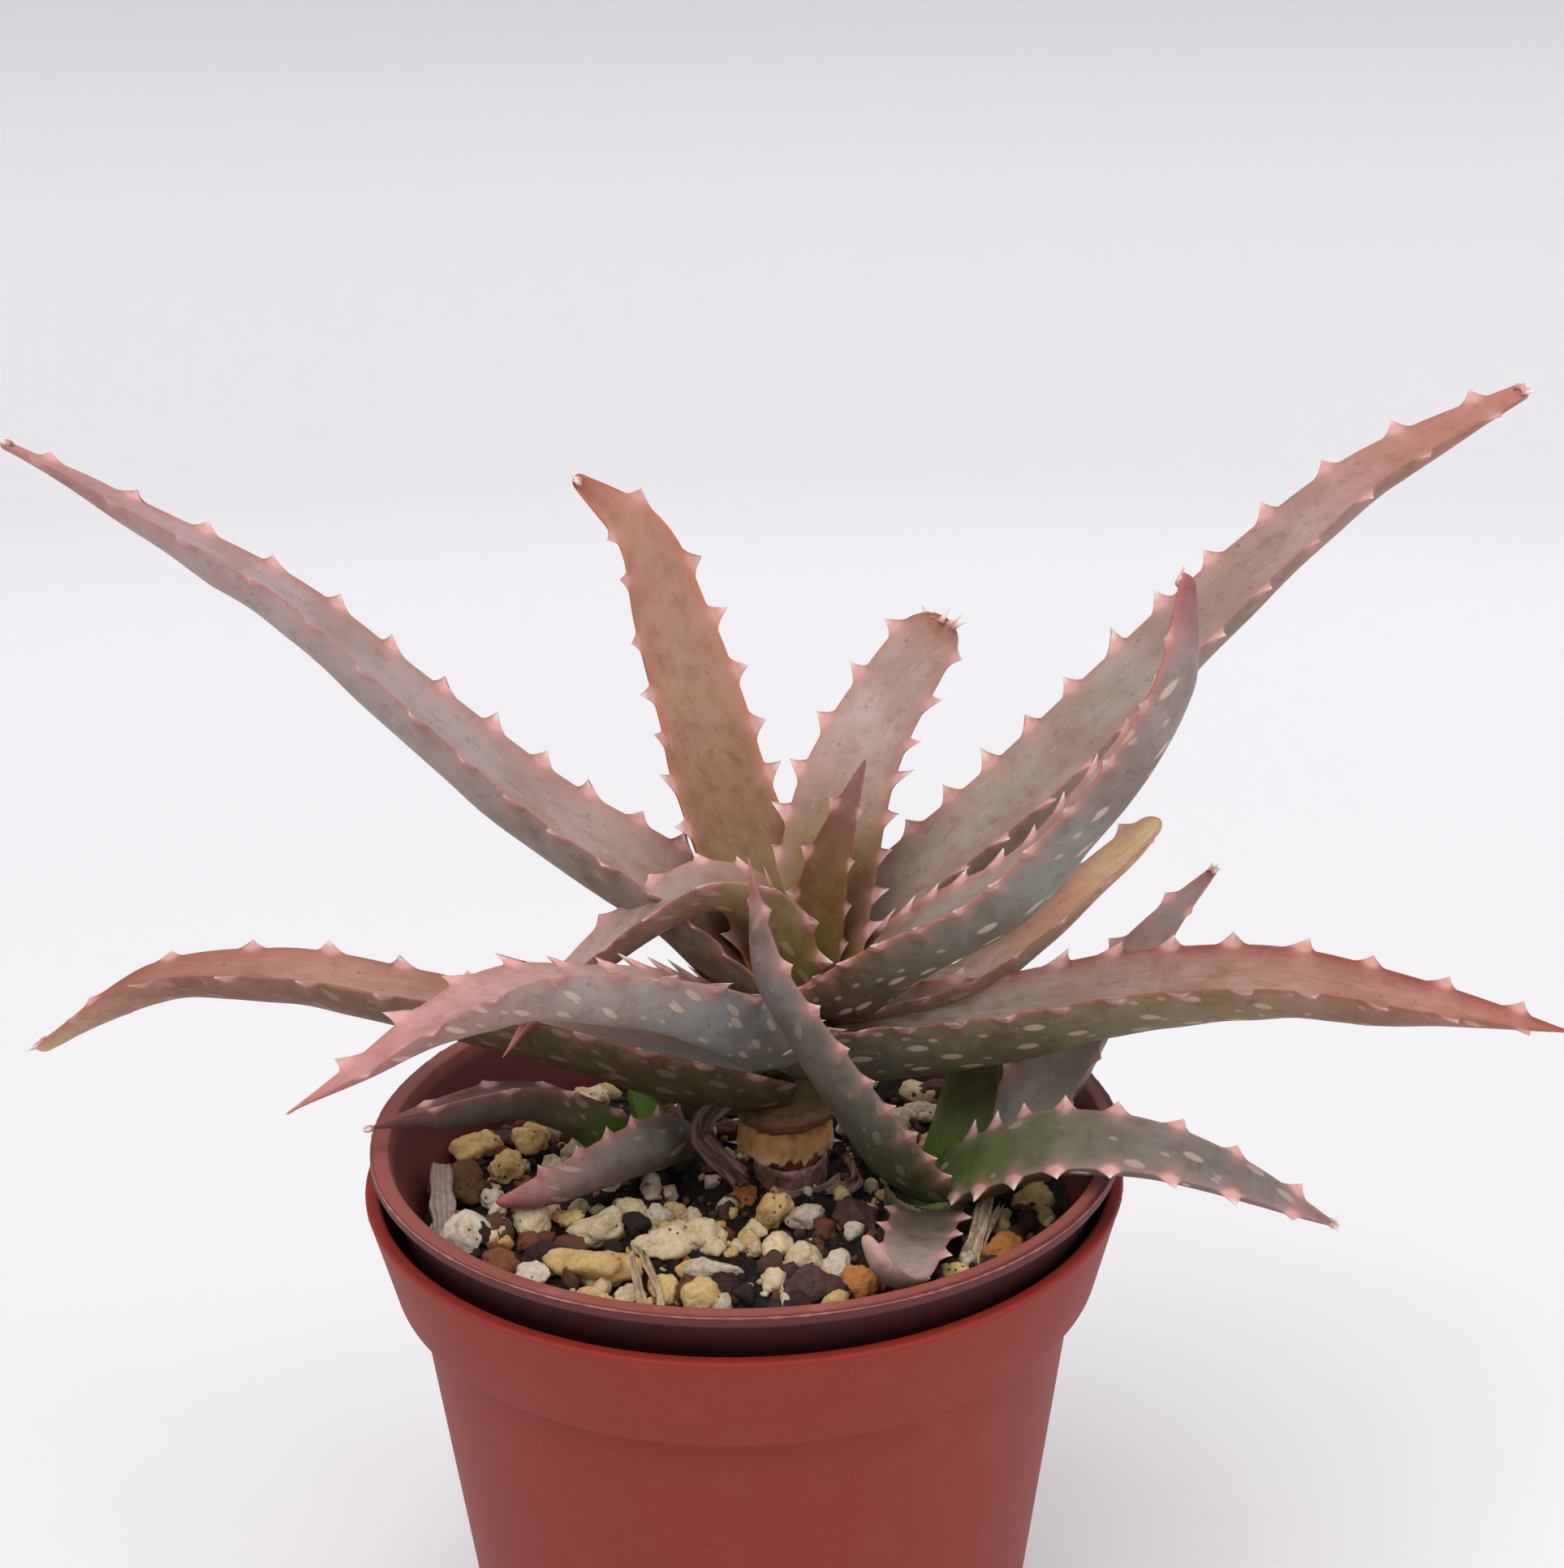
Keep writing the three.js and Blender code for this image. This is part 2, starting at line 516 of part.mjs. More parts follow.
// The filling of the inner pot, with a rough top, its stones and scraps, and a plain hole for each stem
function pottingMix(stems, lowBlades) {
  const shoulder = INNER_BASE + INNER_COLLAR_FOOT;
  const floor = INNER_BASE + WALL + GAP;
  const inset = WALL + GAP;
  const bodyReach = (z) => INNER_BASE_RADIUS - inset + BODY_TAPER * (z - INNER_BASE);
  const edge = INNER_COLLAR_FOOT_RADIUS - inset + COLLAR_TAPER * (SOIL_LEVEL - shoulder - WALL);
  const body = lathe([
    [0, floor],
    [bodyReach(floor) - WALL, floor],
    [bodyReach(shoulder - WALL) - GAP, shoulder - WALL - GAP],
    [edge - GAP, SOIL_LEVEL - 2 * GAP],
    [edge, SOIL_LEVEL],
    [edge * 0.7, SOIL_LEVEL],
    [edge * 0.35, SOIL_LEVEL],
    [0, SOIL_LEVEL],
  ]);
  const places = body.attributes.position;
  for (let i = 0; i < places.count; i += 1) {
    const [x, y, z] = [places.getX(i), places.getY(i), places.getZ(i)];
    if (z > SOIL_LEVEL - GAP && Math.hypot(x, y) < edge - 1) {
      places.setZ(i, z + SOIL_ROUGHNESS * (Math.sin(1.1 * x + 0.4 * y) + Math.cos(0.9 * y - 0.5 * x)));
    }
  }
  let mix = solidOf(body);

  const draw = randomDraw(STONE_SEED);
  const placed = [];
  for (const [x, y, ...size] of STONES) {
    placed.push([x, y, size[0] / 2]);
    mix = mix.add(stone(x, y, SOIL_LEVEL + STONE_RISE * size[2], size, draw() * Math.PI, draw));
  }
  const most = STONES.length + LOOSE_STONES;
  for (let tries = 0; placed.length < most && tries < 2000; tries += 1) {
    const radius = (edge - WALL_CLEARANCE) * Math.sqrt(draw());
    const angle = draw() * 2 * Math.PI;
    const length = LOOSE_LENGTH[0] + LOOSE_LENGTH[1] * draw();
    const x = radius * Math.cos(angle);
    const y = radius * Math.sin(angle);
    if (placed.every(([px, py, half]) => Math.hypot(px - x, py - y) > half + length / 2)) {
      placed.push([x, y, length / 2]);
      const size = [length, length * (LOOSE_WIDTH[0] + LOOSE_WIDTH[1] * draw()), length * LOOSE_HEIGHT];
      mix = mix.add(stone(x, y, SOIL_LEVEL + STONE_RISE * size[2], size, draw() * Math.PI, draw));
    }
  }
  for (const scrap of SCRAPS) {
    mix = mix.add(solidOf(strip(scrap)));
  }

  for (const points of stems) {
    const [x, y] = points[0];
    const radius = Math.max(...points.filter((p) => p[2] <= SOIL_LEVEL + 2).map((p) => p[3]));
    const bottom = [x, y, SOIL_LEVEL - STEM_HOLE_DEPTH, radius];
    const top = [x, y, SOIL_LEVEL + STEM_HOLE_DEPTH, radius];
    mix = mix.subtract(solidOf(stem([bottom, top], GAP)));
  }
  for (const low of lowBlades) {
    mix = mix.subtract(low);
  }
  mix = mix.translate([INNER_SHIFT, 0, 0]);
  return meshOf('potting_mix', geometryOf(largestPiece(mix)), 'mix', 0.95);
}

const group = new THREE.Group();
group.add(outerPot(), innerPot());

const mainRosette = rosette(MAIN_LEAVES, MAIN_STEM, 100);
const rightRosette = rosette(RIGHT_OFFSET_LEAVES, RIGHT_STEM, 200);
const leftRosette = rosette(LEFT_OFFSET_LEAVES, LEFT_STEM, 300);
const withered = rosette([WITHERED_LEAF], MAIN_STEM, 400, mainRosette.taken);

const mainPlant = new THREE.Group();
const stemMesh = meshOf('main_stem', geometryOf(toothedStem(MAIN_STEM)), 'stem', 0.7);
mainPlant.add(stemMesh, ...mainRosette.blades, ...withered.blades);
const rightPlant = new THREE.Group();
rightPlant.add(meshOf('right_offset_stem', stem(RIGHT_STEM), 'stem', 0.7), ...rightRosette.blades);
const leftPlant = new THREE.Group();
leftPlant.add(meshOf('left_offset_stem', stem(LEFT_STEM), 'stem', 0.7), ...leftRosette.blades);
const lowBlades = [...rightRosette.taken, ...leftRosette.taken];
group.add(pottingMix([MAIN_STEM, RIGHT_STEM, LEFT_STEM], lowBlades));
group.add(mainPlant, rightPlant, leftPlant);

export default group;
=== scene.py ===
# %% [markdown]
# A small hybrid aloe in its nursery pot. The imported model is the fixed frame: it says where every leaf,
# stem and pot wall is. This script dresses that frame. Each piece is worked out as a whole surface with
# numpy, in metres, in the same place as the solid that it stands for.

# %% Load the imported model
import math

import bmesh
import bpy
import numpy as np
from mathutils import Matrix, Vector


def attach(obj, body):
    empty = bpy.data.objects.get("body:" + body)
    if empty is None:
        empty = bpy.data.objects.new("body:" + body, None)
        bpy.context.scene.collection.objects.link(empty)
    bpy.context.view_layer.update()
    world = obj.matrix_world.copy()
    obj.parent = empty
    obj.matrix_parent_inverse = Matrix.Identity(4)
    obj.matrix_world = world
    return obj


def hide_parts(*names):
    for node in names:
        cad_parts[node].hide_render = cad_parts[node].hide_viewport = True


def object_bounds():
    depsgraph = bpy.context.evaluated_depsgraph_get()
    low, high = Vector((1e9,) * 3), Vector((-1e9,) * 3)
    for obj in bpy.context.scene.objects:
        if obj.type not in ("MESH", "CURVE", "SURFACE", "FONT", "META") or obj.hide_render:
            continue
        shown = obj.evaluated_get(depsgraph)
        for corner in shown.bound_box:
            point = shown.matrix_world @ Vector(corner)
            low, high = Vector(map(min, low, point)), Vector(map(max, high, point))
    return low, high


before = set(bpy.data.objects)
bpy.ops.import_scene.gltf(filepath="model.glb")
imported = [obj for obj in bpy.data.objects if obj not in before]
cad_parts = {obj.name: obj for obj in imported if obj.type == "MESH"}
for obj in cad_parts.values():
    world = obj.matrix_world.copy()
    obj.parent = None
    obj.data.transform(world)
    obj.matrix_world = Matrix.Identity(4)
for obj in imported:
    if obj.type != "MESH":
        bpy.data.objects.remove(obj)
cad_box = [[float(v) for v in corner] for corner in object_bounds()]
MM = 0.001
cad_sides = np.round(np.subtract(cad_box[1], cad_box[0]), 3)
print("frame holds", len(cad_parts), "nodes in a box of", cad_sides)

# %% [markdown]
# The photograph was taken from the front and a little above, close to the plant. A camera needs a place,
# a direction and a lens. The direction is built from a turn, a tilt down and a slight roll, because that
# is how a hand holds a camera, and the three together give the rotation matrix.


# %% Camera
CAMERA_PLACE = np.array([0.0, -0.2405, 0.2029])
CAMERA_TURN, CAMERA_TILT, CAMERA_ROLL = (math.radians(a) for a in (1.20, -17.98, -0.76))
LENS_MM, SENSOR_MM, CLIP_START = 51.15, 36.0, 0.01


def placed(axes, place):
    """A Blender matrix from three directions, which are its columns, and a place."""
    matrix = np.eye(4)
    matrix[:3, :3] = np.column_stack(axes)
    matrix[:3, 3] = place
    return Matrix(matrix.tolist())


forward = np.array([math.sin(CAMERA_TURN) * math.cos(CAMERA_TILT),
                    math.cos(CAMERA_TURN) * math.cos(CAMERA_TILT),
                    math.sin(CAMERA_TILT)])
level = np.array([math.cos(CAMERA_TURN), -math.sin(CAMERA_TURN), 0.0])
above = np.cross(level, forward)
right = math.cos(CAMERA_ROLL) * level + math.sin(CAMERA_ROLL) * above
upward = -math.sin(CAMERA_ROLL) * level + math.cos(CAMERA_ROLL) * above
camera_data = bpy.data.cameras.new("camera")
camera_data.lens = LENS_MM
camera_data.sensor_width = SENSOR_MM
camera_data.clip_start = CLIP_START
camera = bpy.data.objects.new("camera", camera_data)
camera.matrix_world = placed([right, upward, -forward], CAMERA_PLACE)
bpy.context.scene.collection.objects.link(camera)
bpy.context.scene.camera = camera
bpy.context.scene.view_settings.view_transform = "Standard"
print("camera looks along", np.round(forward, 3))

# %% [markdown]
# Colours are easiest to judge as they look on a screen, but Blender mixes light in linear values. One
# small function turns the first into the second, for one colour or for a whole array of them.


# %% Colour helper
def linear(colour):
    """Screen colour of 0 to 255 a channel, as linear light: the screen's curve undone."""
    share = np.asarray(colour, float) / 255
    return np.where(share <= 0.04045, share / 12.92, ((share + 0.055) / 1.055) ** 2.4)


def rgba(colour):
    """One screen colour as an opaque linear colour, the form that a node's colour socket takes."""
    return (*linear(colour).tolist(), 1.0)


# %% [markdown]
# Nearly every piece here is a grid of points bent into a shape: one direction runs along the piece and
# the other runs round it. The first helper hands points and faces to Blender in whole arrays, which is
# far quicker than one by one. It can also store values on the points, which the materials read later.


# %% Arrays to mesh
def circle_angles(count):
    """Angles in radians, spread evenly round a circle."""
    return np.linspace(0, 2 * math.pi, count, endpoint=False)


def unit(vectors):
    """The same directions with a length of one."""
    return vectors / np.linalg.norm(vectors, axis=-1, keepdims=True)


def build_mesh(name, points, quads, triangles, values=None, corner_uv=None):
    """A mesh from arrays: points, faces of four and faces of three, named values and corner places."""
    mesh = bpy.data.meshes.new(name)
    corners = np.concatenate([quads.ravel(), triangles.ravel()]).astype(np.int32)
    sizes = np.concatenate([np.full(len(quads), 4), np.full(len(triangles), 3)])
    starts = np.concatenate([[0], np.cumsum(sizes)[:-1]]).astype(np.int32)
    mesh.vertices.add(len(points))
    mesh.vertices.foreach_set("co", np.asarray(points, np.float32).ravel())
    mesh.loops.add(len(corners))
    mesh.loops.foreach_set("vertex_index", corners)
    mesh.polygons.add(len(sizes))
    mesh.polygons.foreach_set("loop_start", starts)
    mesh.update(calc_edges=True)
    mesh.polygons.foreach_set("use_smooth", np.ones(len(sizes), bool))
    for key, array in (values or {}).items():
        if array.ndim == 2:
            layer = mesh.attributes.new(key, "FLOAT_COLOR", "POINT")
            opaque = np.column_stack([array, np.ones(len(array))])
            layer.data.foreach_set("color", opaque.astype(np.float32).ravel())
        else:
            layer = mesh.attributes.new(key, "FLOAT", "POINT")
            layer.data.foreach_set("value", array.astype(np.float32))
    if corner_uv is not None:
        mesh.uv_layers.new(name="along").data.foreach_set("uv", corner_uv.astype(np.float32).ravel())
    piece = bpy.data.objects.new(name, mesh)
    bpy.context.scene.collection.objects.link(piece)
    return piece


# %% [markdown]
# A grid becomes a closed surface in one of two ways. A leaf or a stem has two ends, and each is closed
# with a point. A ring or a band loops back into itself. Either way the faces must point outwards, so the
# volume that they enclose is worked out, and the faces are turned round if it comes out negative.


# %% Closed surfaces
def grid_quads(rows, cols, loops=False):
    """Faces of four over a grid whose rows are rings. The last row joins the first where it loops."""
    i, j = np.meshgrid(np.arange(rows if loops else rows - 1), np.arange(cols), indexing="ij")
    u, v = (i + 1) % rows, (j + 1) % cols
    return np.stack([i * cols + j, i * cols + v, u * cols + v, u * cols + j], axis=-1).reshape(-1, 4)


def quads_volume(points, quads):
    """Six times the volume inside the faces: the sum, over the two triangles of each face, of one corner's
    dot product with the cross product of the other two."""
    a, b, c, d = (points[quads[:, n]] for n in range(4))
    return (a * np.cross(b, c)).sum() + (a * np.cross(c, d)).sum()


def looped_grid(name, grid, values=None):
    """A grid that closes round in both directions, like a ring's surface."""
    rows, cols, _ = grid.shape
    quads = grid_quads(rows, cols, loops=True)
    points = grid.reshape(-1, 3)
    order = 1 if quads_volume(points, quads) > 0 else -1
    flat = {key: array.reshape(rows * cols, -1) for key, array in (values or {}).items()}
    return build_mesh(name, points, quads[:, ::order], np.zeros((0, 3), int), flat)


def closed_grid(name, grid, values=None, uv=None):
    """Rows of rings, each ring closed round, with the first and last ring drawn to their middle point.
    Values are given per grid point. uv has one more column than the grid, so that it can wrap."""
    rows, cols, _ = grid.shape
    points = np.concatenate([grid.reshape(-1, 3), [grid[0].mean(axis=0)], [grid[-1].mean(axis=0)]])
    quads = grid_quads(rows, cols)
    ring = np.arange(cols)
    after = (ring + 1) % cols
    last = (rows - 1) * cols
    low = np.stack([after, ring, np.full(cols, rows * cols)], axis=-1)
    high = np.stack([last + ring, last + after, np.full(cols, rows * cols + 1)], axis=-1)
    volume = quads_volume(points, quads)
    for cap in (low, high):
        volume += (points[cap[:, 0]] * np.cross(points[cap[:, 1]], points[cap[:, 2]])).sum()
    order = 1 if volume > 0 else -1
    quads, low, high = quads[:, ::order], low[:, ::order], high[:, ::order]
    corner_uv = None
    if uv is not None:
        quad_uv = np.stack([uv[:-1, :-1], uv[:-1, 1:], uv[1:, 1:], uv[1:, :-1]], axis=2)
        low_uv = np.stack([uv[0, 1:], uv[0, :-1], uv[0, :-1]], axis=1)
        high_uv = np.stack([uv[-1, :-1], uv[-1, 1:], uv[-1, 1:]], axis=1)
        parts = (quad_uv.reshape(-1, 4, 2), low_uv, high_uv)
        corner_uv = np.concatenate([part[:, ::order].reshape(-1, 2) for part in parts])
    full = {}
    for key, array in (values or {}).items():
        flat = array.reshape(rows * cols, -1)
        full[key] = np.concatenate([flat, [flat[:cols].mean(axis=0)], [flat[-cols:].mean(axis=0)]])
        if full[key].shape[1] == 1:
            full[key] = full[key].ravel()
    return build_mesh(name, points, quads, np.concatenate([low, high]), full, corner_uv)


def dress(piece, material, slot, *nodes):
    """Gives a finished piece its material and its body, and hides the nodes that it stands for. slot is not
    used.
    """
    piece.data.materials.append(material)
    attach(piece, "root")
    if nodes:
        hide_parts(*nodes)
    print(piece.name, len(piece.data.polygons), "faces")


# %% [markdown]
# Nothing that grew or broke is perfectly smooth. Blender's textures can't be read from numpy, so this
# small noise is a sum of sine waves in random directions. It is smooth, it is the same in every run, and
# it works on a whole array of points at once.


# %% Smooth noise
WAVE_SPREAD, WAVE_HEIGHT = (0.7, 1.5), 1.1


def ripple(points, wavelength, seed, waves=10):
    """The sum of sine waves in random directions, each of about the wavelength, over the root of their
    number and a constant, which keeps it mostly between -1 and 1."""
    draw = np.random.default_rng(seed)
    direction = unit(draw.normal(size=(waves, 3)))
    pace = 2 * np.pi / (wavelength * draw.uniform(*WAVE_SPREAD, waves))
    phase = draw.uniform(0, 2 * np.pi, waves)
    total = np.sin(np.asarray(points) @ (direction * pace[:, None]).T + phase).sum(axis=-1)
    return total / waves ** 0.5 / WAVE_HEIGHT


print("noise sample", np.round(ripple(np.eye(3), 1.0, 3), 2))

# %% [markdown]
# Materials are node trees. Writing them out node by node is long, so a few helpers add a node, link or
# set its inputs by name, and give back an output. They make the material cells short enough to read.


# %% Node helpers
def add(tree, kind, sockets=None, **settings):
    """Adds a node. Each socket is set to a value, or linked if it is given another node's output."""
    node = tree.nodes.new(kind)
    for key, value in settings.items():
        setattr(node, key, value)
    for key, value in (sockets or {}).items():
        if isinstance(value, bpy.types.NodeSocket):
            tree.links.new(value, node.inputs[key])
        else:
            node.inputs[key].default_value = value
    return node


def calc(tree, operation, first, second=0.0, third=0.0):
    """One step of arithmetic. MULTIPLY_ADD is the first times the second, plus the third."""
    node = add(tree, "ShaderNodeMath", {0: first, 1: second, 2: third}, operation=operation)
    return node.outputs[0]


def times(tree, *factors):
    """The product of two or more masks."""
    product = factors[0]
    for factor in factors[1:]:
        product = calc(tree, "MULTIPLY", product, factor)
    return product


def tint(tree, mode, amount, base, over):
    """The colour over is laid on the base in a blend mode, by an amount from 0 to 1."""
    node = add(tree, "ShaderNodeMix", {0: amount, 6: base, 7: over}, data_type="RGBA", blend_type=mode)
    return node.outputs[2]


def step(tree, value, low, high):
    """0 below low, 1 above high, and smooth between them."""
    node = add(tree, "ShaderNodeMapRange", {"Value": value, "From Min": low, "From Max": high},
               interpolation_type="SMOOTHSTEP")
    return node.outputs[0]


def noise(tree, place, scale, detail=3.0, roughness=0.55):
    """Blender's noise, about 0.5 on the whole, whose spots are one over the scale wide."""
    sockets = {"Vector": place, "Scale": scale, "Detail": detail, "Roughness": roughness}
    return add(tree, "ShaderNodeTexNoise", sockets).outputs[0]


def stretch(tree, place, scale):
    """Each coordinate times its own scale, so a larger number makes a pattern finer that way."""
    node = add(tree, "ShaderNodeVectorMath", {0: place, 1: scale}, operation="MULTIPLY")
    return node.outputs[0]


def object_place(tree):
    """The place of the shaded point in the object's own coordinates, which are the frame's, in metres."""
    return add(tree, "ShaderNodeTexCoord").outputs["Object"]


def stored(tree, name, output="Fac"):
    """A value, or with output "Color" a colour, that the mesh keeps on its points."""
    return add(tree, "ShaderNodeAttribute", attribute_name=name).outputs[output]


def radius_and_height(tree):
    """The shaded point's distance from the Z axis, the root of X squared plus Y squared, and its height."""
    x, y, z = add(tree, "ShaderNodeSeparateXYZ", {0: object_place(tree)}).outputs
    return calc(tree, "SQRT", calc(tree, "MULTIPLY_ADD", x, x, times(tree, y, y))), z


def bumped(tree, strength, distance, height):
    """The surface normal, tilted by the slope of a height."""
    sockets = {"Strength": strength, "Distance": distance, "Height": height}
    return add(tree, "ShaderNodeBump", sockets).outputs[0]


def cells(tree, place, scale, near, far, share, flat=False):
    """Round spots: the middle of each Voronoi cell, kept in the given share of the cells."""
    node = add(tree, "ShaderNodeTexVoronoi", {"Vector": place, "Scale": scale},
               voronoi_dimensions="2D" if flat else "3D")
    spot = calc(tree, "SUBTRACT", 1.0, step(tree, node.outputs["Distance"], near, far))
    chance = add(tree, "ShaderNodeSeparateColor", {0: node.outputs["Color"]}).outputs[0]
    return times(tree, spot, calc(tree, "LESS_THAN", chance, share))


def group(name, inputs, outputs):
    """An empty node group with named sockets, and its input and output nodes."""
    kinds = {"color": "NodeSocketColor", "value": "NodeSocketFloat", "vector": "NodeSocketVector"}
    tree = bpy.data.node_groups.new(name, "ShaderNodeTree")
    for socket, kind in inputs.items():
        tree.interface.new_socket(name=socket, in_out="INPUT", socket_type=kinds[kind])
    for socket, kind in outputs.items():
        tree.interface.new_socket(name=socket, in_out="OUTPUT", socket_type=kinds[kind])
    return tree, tree.nodes.new("NodeGroupInput").outputs, tree.nodes.new("NodeGroupOutput").inputs


def material(name):
    """A new material with its Principled shader and its tree."""
    made = bpy.data.materials.new(name)
    made.use_nodes = True
    return made, made.node_tree, made.node_tree.nodes["Principled BSDF"]


# %% [markdown]
# A product photograph stands on seamless paper: a floor that curves up into a wall, so no line shows behind
# the plant. Turned into a round bowl, the same curve works from every side. The paper carries painted shade:
# a painted shadow makes it a little greyer under the plant, and painted shade makes it greyer high on the
# wall, so its colour goes by the distance from the axis and by Z.

# %% Seamless floor
FLOOR_RADIUS, SWEEP_RADIUS, WALL_HEIGHT, FLOOR_SINK, FLOOR_SIDES = 0.9, 0.7, 1.1, 0.0005, 96

sweep = np.linspace(0, math.pi / 2, 24)
bowl = np.concatenate([
    np.column_stack([np.linspace(0.02, FLOOR_RADIUS, 20, endpoint=False), np.zeros(20)]),
    np.column_stack([FLOOR_RADIUS + SWEEP_RADIUS * np.sin(sweep), SWEEP_RADIUS * (1 - np.cos(sweep))]),
    [[FLOOR_RADIUS + SWEEP_RADIUS, SWEEP_RADIUS + WALL_HEIGHT]],
])
angle = circle_angles(FLOOR_SIDES)
floor_grid = np.stack([bowl[:, :1] * np.cos(angle), bowl[:, :1] * np.sin(angle),
                       np.repeat(bowl[:, 1:], FLOOR_SIDES, axis=1) - FLOOR_SINK], axis=-1)
ring = np.arange(FLOOR_SIDES)
hub = np.full(FLOOR_SIDES, len(bowl) * FLOOR_SIDES)
middle = np.column_stack([ring, (ring + 1) % FLOOR_SIDES, hub])
floor_points = np.concatenate([floor_grid.reshape(-1, 3), [[0, 0, -FLOOR_SINK]]])
floor = build_mesh("floor", floor_points, grid_quads(len(bowl), FLOOR_SIDES)[:, [0, 3, 2, 1]], middle)

paper, tree, shader = material("seamless_paper")
far_out, height = radius_and_height(tree)
# Painted shadow: the paper is greyer near the plant than far out.
tone = tint(tree, "MIX", step(tree, far_out, 0.25, 0.8), rgba((228, 227, 228)), rgba((244, 243, 245)))
# Painted shade: the paper is greyer high on the wall.
tone = tint(tree, "MIX", step(tree, height, 0.06, 0.34), tone, rgba((219, 218, 221)))
tree.links.new(tone, shader.inputs["Base Color"])
shader.inputs["Roughness"].default_value = 0.9
floor.data.materials.append(paper)
print("floor reaches", FLOOR_RADIUS + SWEEP_RADIUS, "m")

# %% [markdown]
# The light in the photograph is soft and comes from above and in front, with hardly a shadow. Large area
# lights give that: the larger a light is against its distance, the softer the edge of its shadow.


# %% Soft studio light
def softbox(name, place, target, size, power):
    """A white square light of the size in metres and the power in watts, turned to the target."""
    data = bpy.data.lights.new(name, "AREA")
    data.shape = "SQUARE"
    data.size = size
    data.energy = power
    lamp = bpy.data.objects.new(name, data)
    away = unit(np.subtract(place, target))
    side = unit(np.cross([0, 0, 1.0], away))
    lamp.matrix_world = placed([side, np.cross(away, side), away], place)
    bpy.context.scene.collection.objects.link(lamp)


softbox("key_light", (-0.35, -0.55, 1.25), (0, 0, 0.1), 0.9, 10.6)
softbox("top_light", (0.2, 0.35, 1.3), (0, 0.05, 0.1), 0.9, 5.2)
softbox("fill_light", (0.95, -0.6, 0.7), (0, 0, 0.1), 0.8, 3.4)
world = bpy.data.worlds.new("studio")
world.use_nodes = True
world.node_tree.nodes["Background"].inputs["Color"].default_value = (0.965, 0.955, 0.985, 1.0)
world.node_tree.nodes["Background"].inputs["Strength"].default_value = 0.5
bpy.context.scene.world = world

# %% [markdown]
# The two pots are thin moulded plastic. A pot is a surface of revolution: a profile of radius and height,
# carried round the axis. Sharp corners give plastic away as computer-made, so each corner of the profile
# is replaced by a small curve first, as the mould rounds it.


# %% Turned surfaces
POT_SIDES, CORNER_POINTS, CORNER_SHARE = 160, 5, 0.45


def soften(profile, reach):
    """Each inner corner is swapped for a curve from a start before it to an end after it, both at most
    reach away. With u from 0 to 1, a point is the start times one less u squared, plus the corner times
    twice u times one less u, plus the end times u squared."""
    made = [profile[0]]
    for before, corner, after in zip(profile[:-2], profile[1:-1], profile[2:]):
        back, on = np.subtract(before, corner), np.subtract(after, corner)
        start = corner + back * min(reach / np.linalg.norm(back), CORNER_SHARE)
        end = corner + on * min(reach / np.linalg.norm(on), CORNER_SHARE)
        for u in np.linspace(0, 1, CORNER_POINTS):
            made.append((1 - u) ** 2 * start + 2 * u * (1 - u) * np.asarray(corner) + u ** 2 * end)
    made.append(profile[-1])
    return np.array(made, float)


def turned(name, profile, shift):
    """Radius and height in millimetres carried round Z, from near the axis below to near it inside."""
    around = circle_angles(POT_SIDES)
    radius, height = profile[:, :1], np.repeat(profile[:, 1:], POT_SIDES, axis=1)
    grid = np.stack([radius * np.cos(around), radius * np.sin(around), height], axis=-1)
    return closed_grid(name, (grid + shift) * MM)


# %% [markdown]
# Each pot's floor has a ring of drain holes. A hole is easiest to cut with a Boolean, which takes one
# closed shape away from another. Every drill is a short cylinder, and the cut mesh replaces the pot's own.


# %% Drain holes
HOLES, HOLE_DIAMETER, HOLE_CIRCLE, DRILL_REACH, DRILL_SIDES = 8, 6.0, 19.0, 3.0, 32


def drill_floor(pot, shift):
    """Cuts the ring of holes with a Boolean for each, and keeps the result as the pot's own mesh."""
    around = circle_angles(DRILL_SIDES)
    ring = np.stack([np.cos(around), np.sin(around), 0 * around], axis=-1) * HOLE_DIAMETER / 2
    reach = np.array([0, 0, DRILL_REACH])
    drills = []
    for n in range(HOLES):
        spot = (n + 0.5) / HOLES * 2 * math.pi
        centre = np.array([HOLE_CIRCLE * math.cos(spot), HOLE_CIRCLE * math.sin(spot), 0.0]) + shift
        grid = np.stack([centre + ring - reach, centre + ring + reach]) * MM
        drills.append(closed_grid(f"drill_{n}", grid))
    for drill in drills:
        cut = pot.modifiers.new("cut", "BOOLEAN")
        cut.operation = "DIFFERENCE"
        cut.solver = "EXACT"
        cut.object = drill
    ready = bpy.data.meshes.new_from_object(pot.evaluated_get(bpy.context.evaluated_depsgraph_get()))
    pot.modifiers.clear()
    pot.data = ready
    for drill in drills:
        bpy.data.objects.remove(drill)
    return pot


# %% [markdown]
# The outer pot has a straight body and a deep collar. Its numbers repeat the solid's, in millimetres, so
# the smooth pot fills the same space as the faceted one. The drain holes are cut last.

# %% Outer pot
RIM_RADIUS, POT_HEIGHT, WALL, RIM_WIDTH = 45.0, 78.0, 1.2, 1.7
COLLAR_DEPTH, COLLAR_TAPER, BODY_TAPER, COLLAR_STEP = 12.1, 0.24, 0.127, 2.4
STEP_RISE, NEAR_AXIS, OUTER_CORNER, INNER_CORNER = 0.4, 1.0, 0.5, 0.35
collar_foot = POT_HEIGHT - COLLAR_DEPTH
collar_foot_radius = RIM_RADIUS - COLLAR_TAPER * COLLAR_DEPTH
body_top_radius = collar_foot_radius - COLLAR_STEP
base_radius = body_top_radius - BODY_TAPER * collar_foot

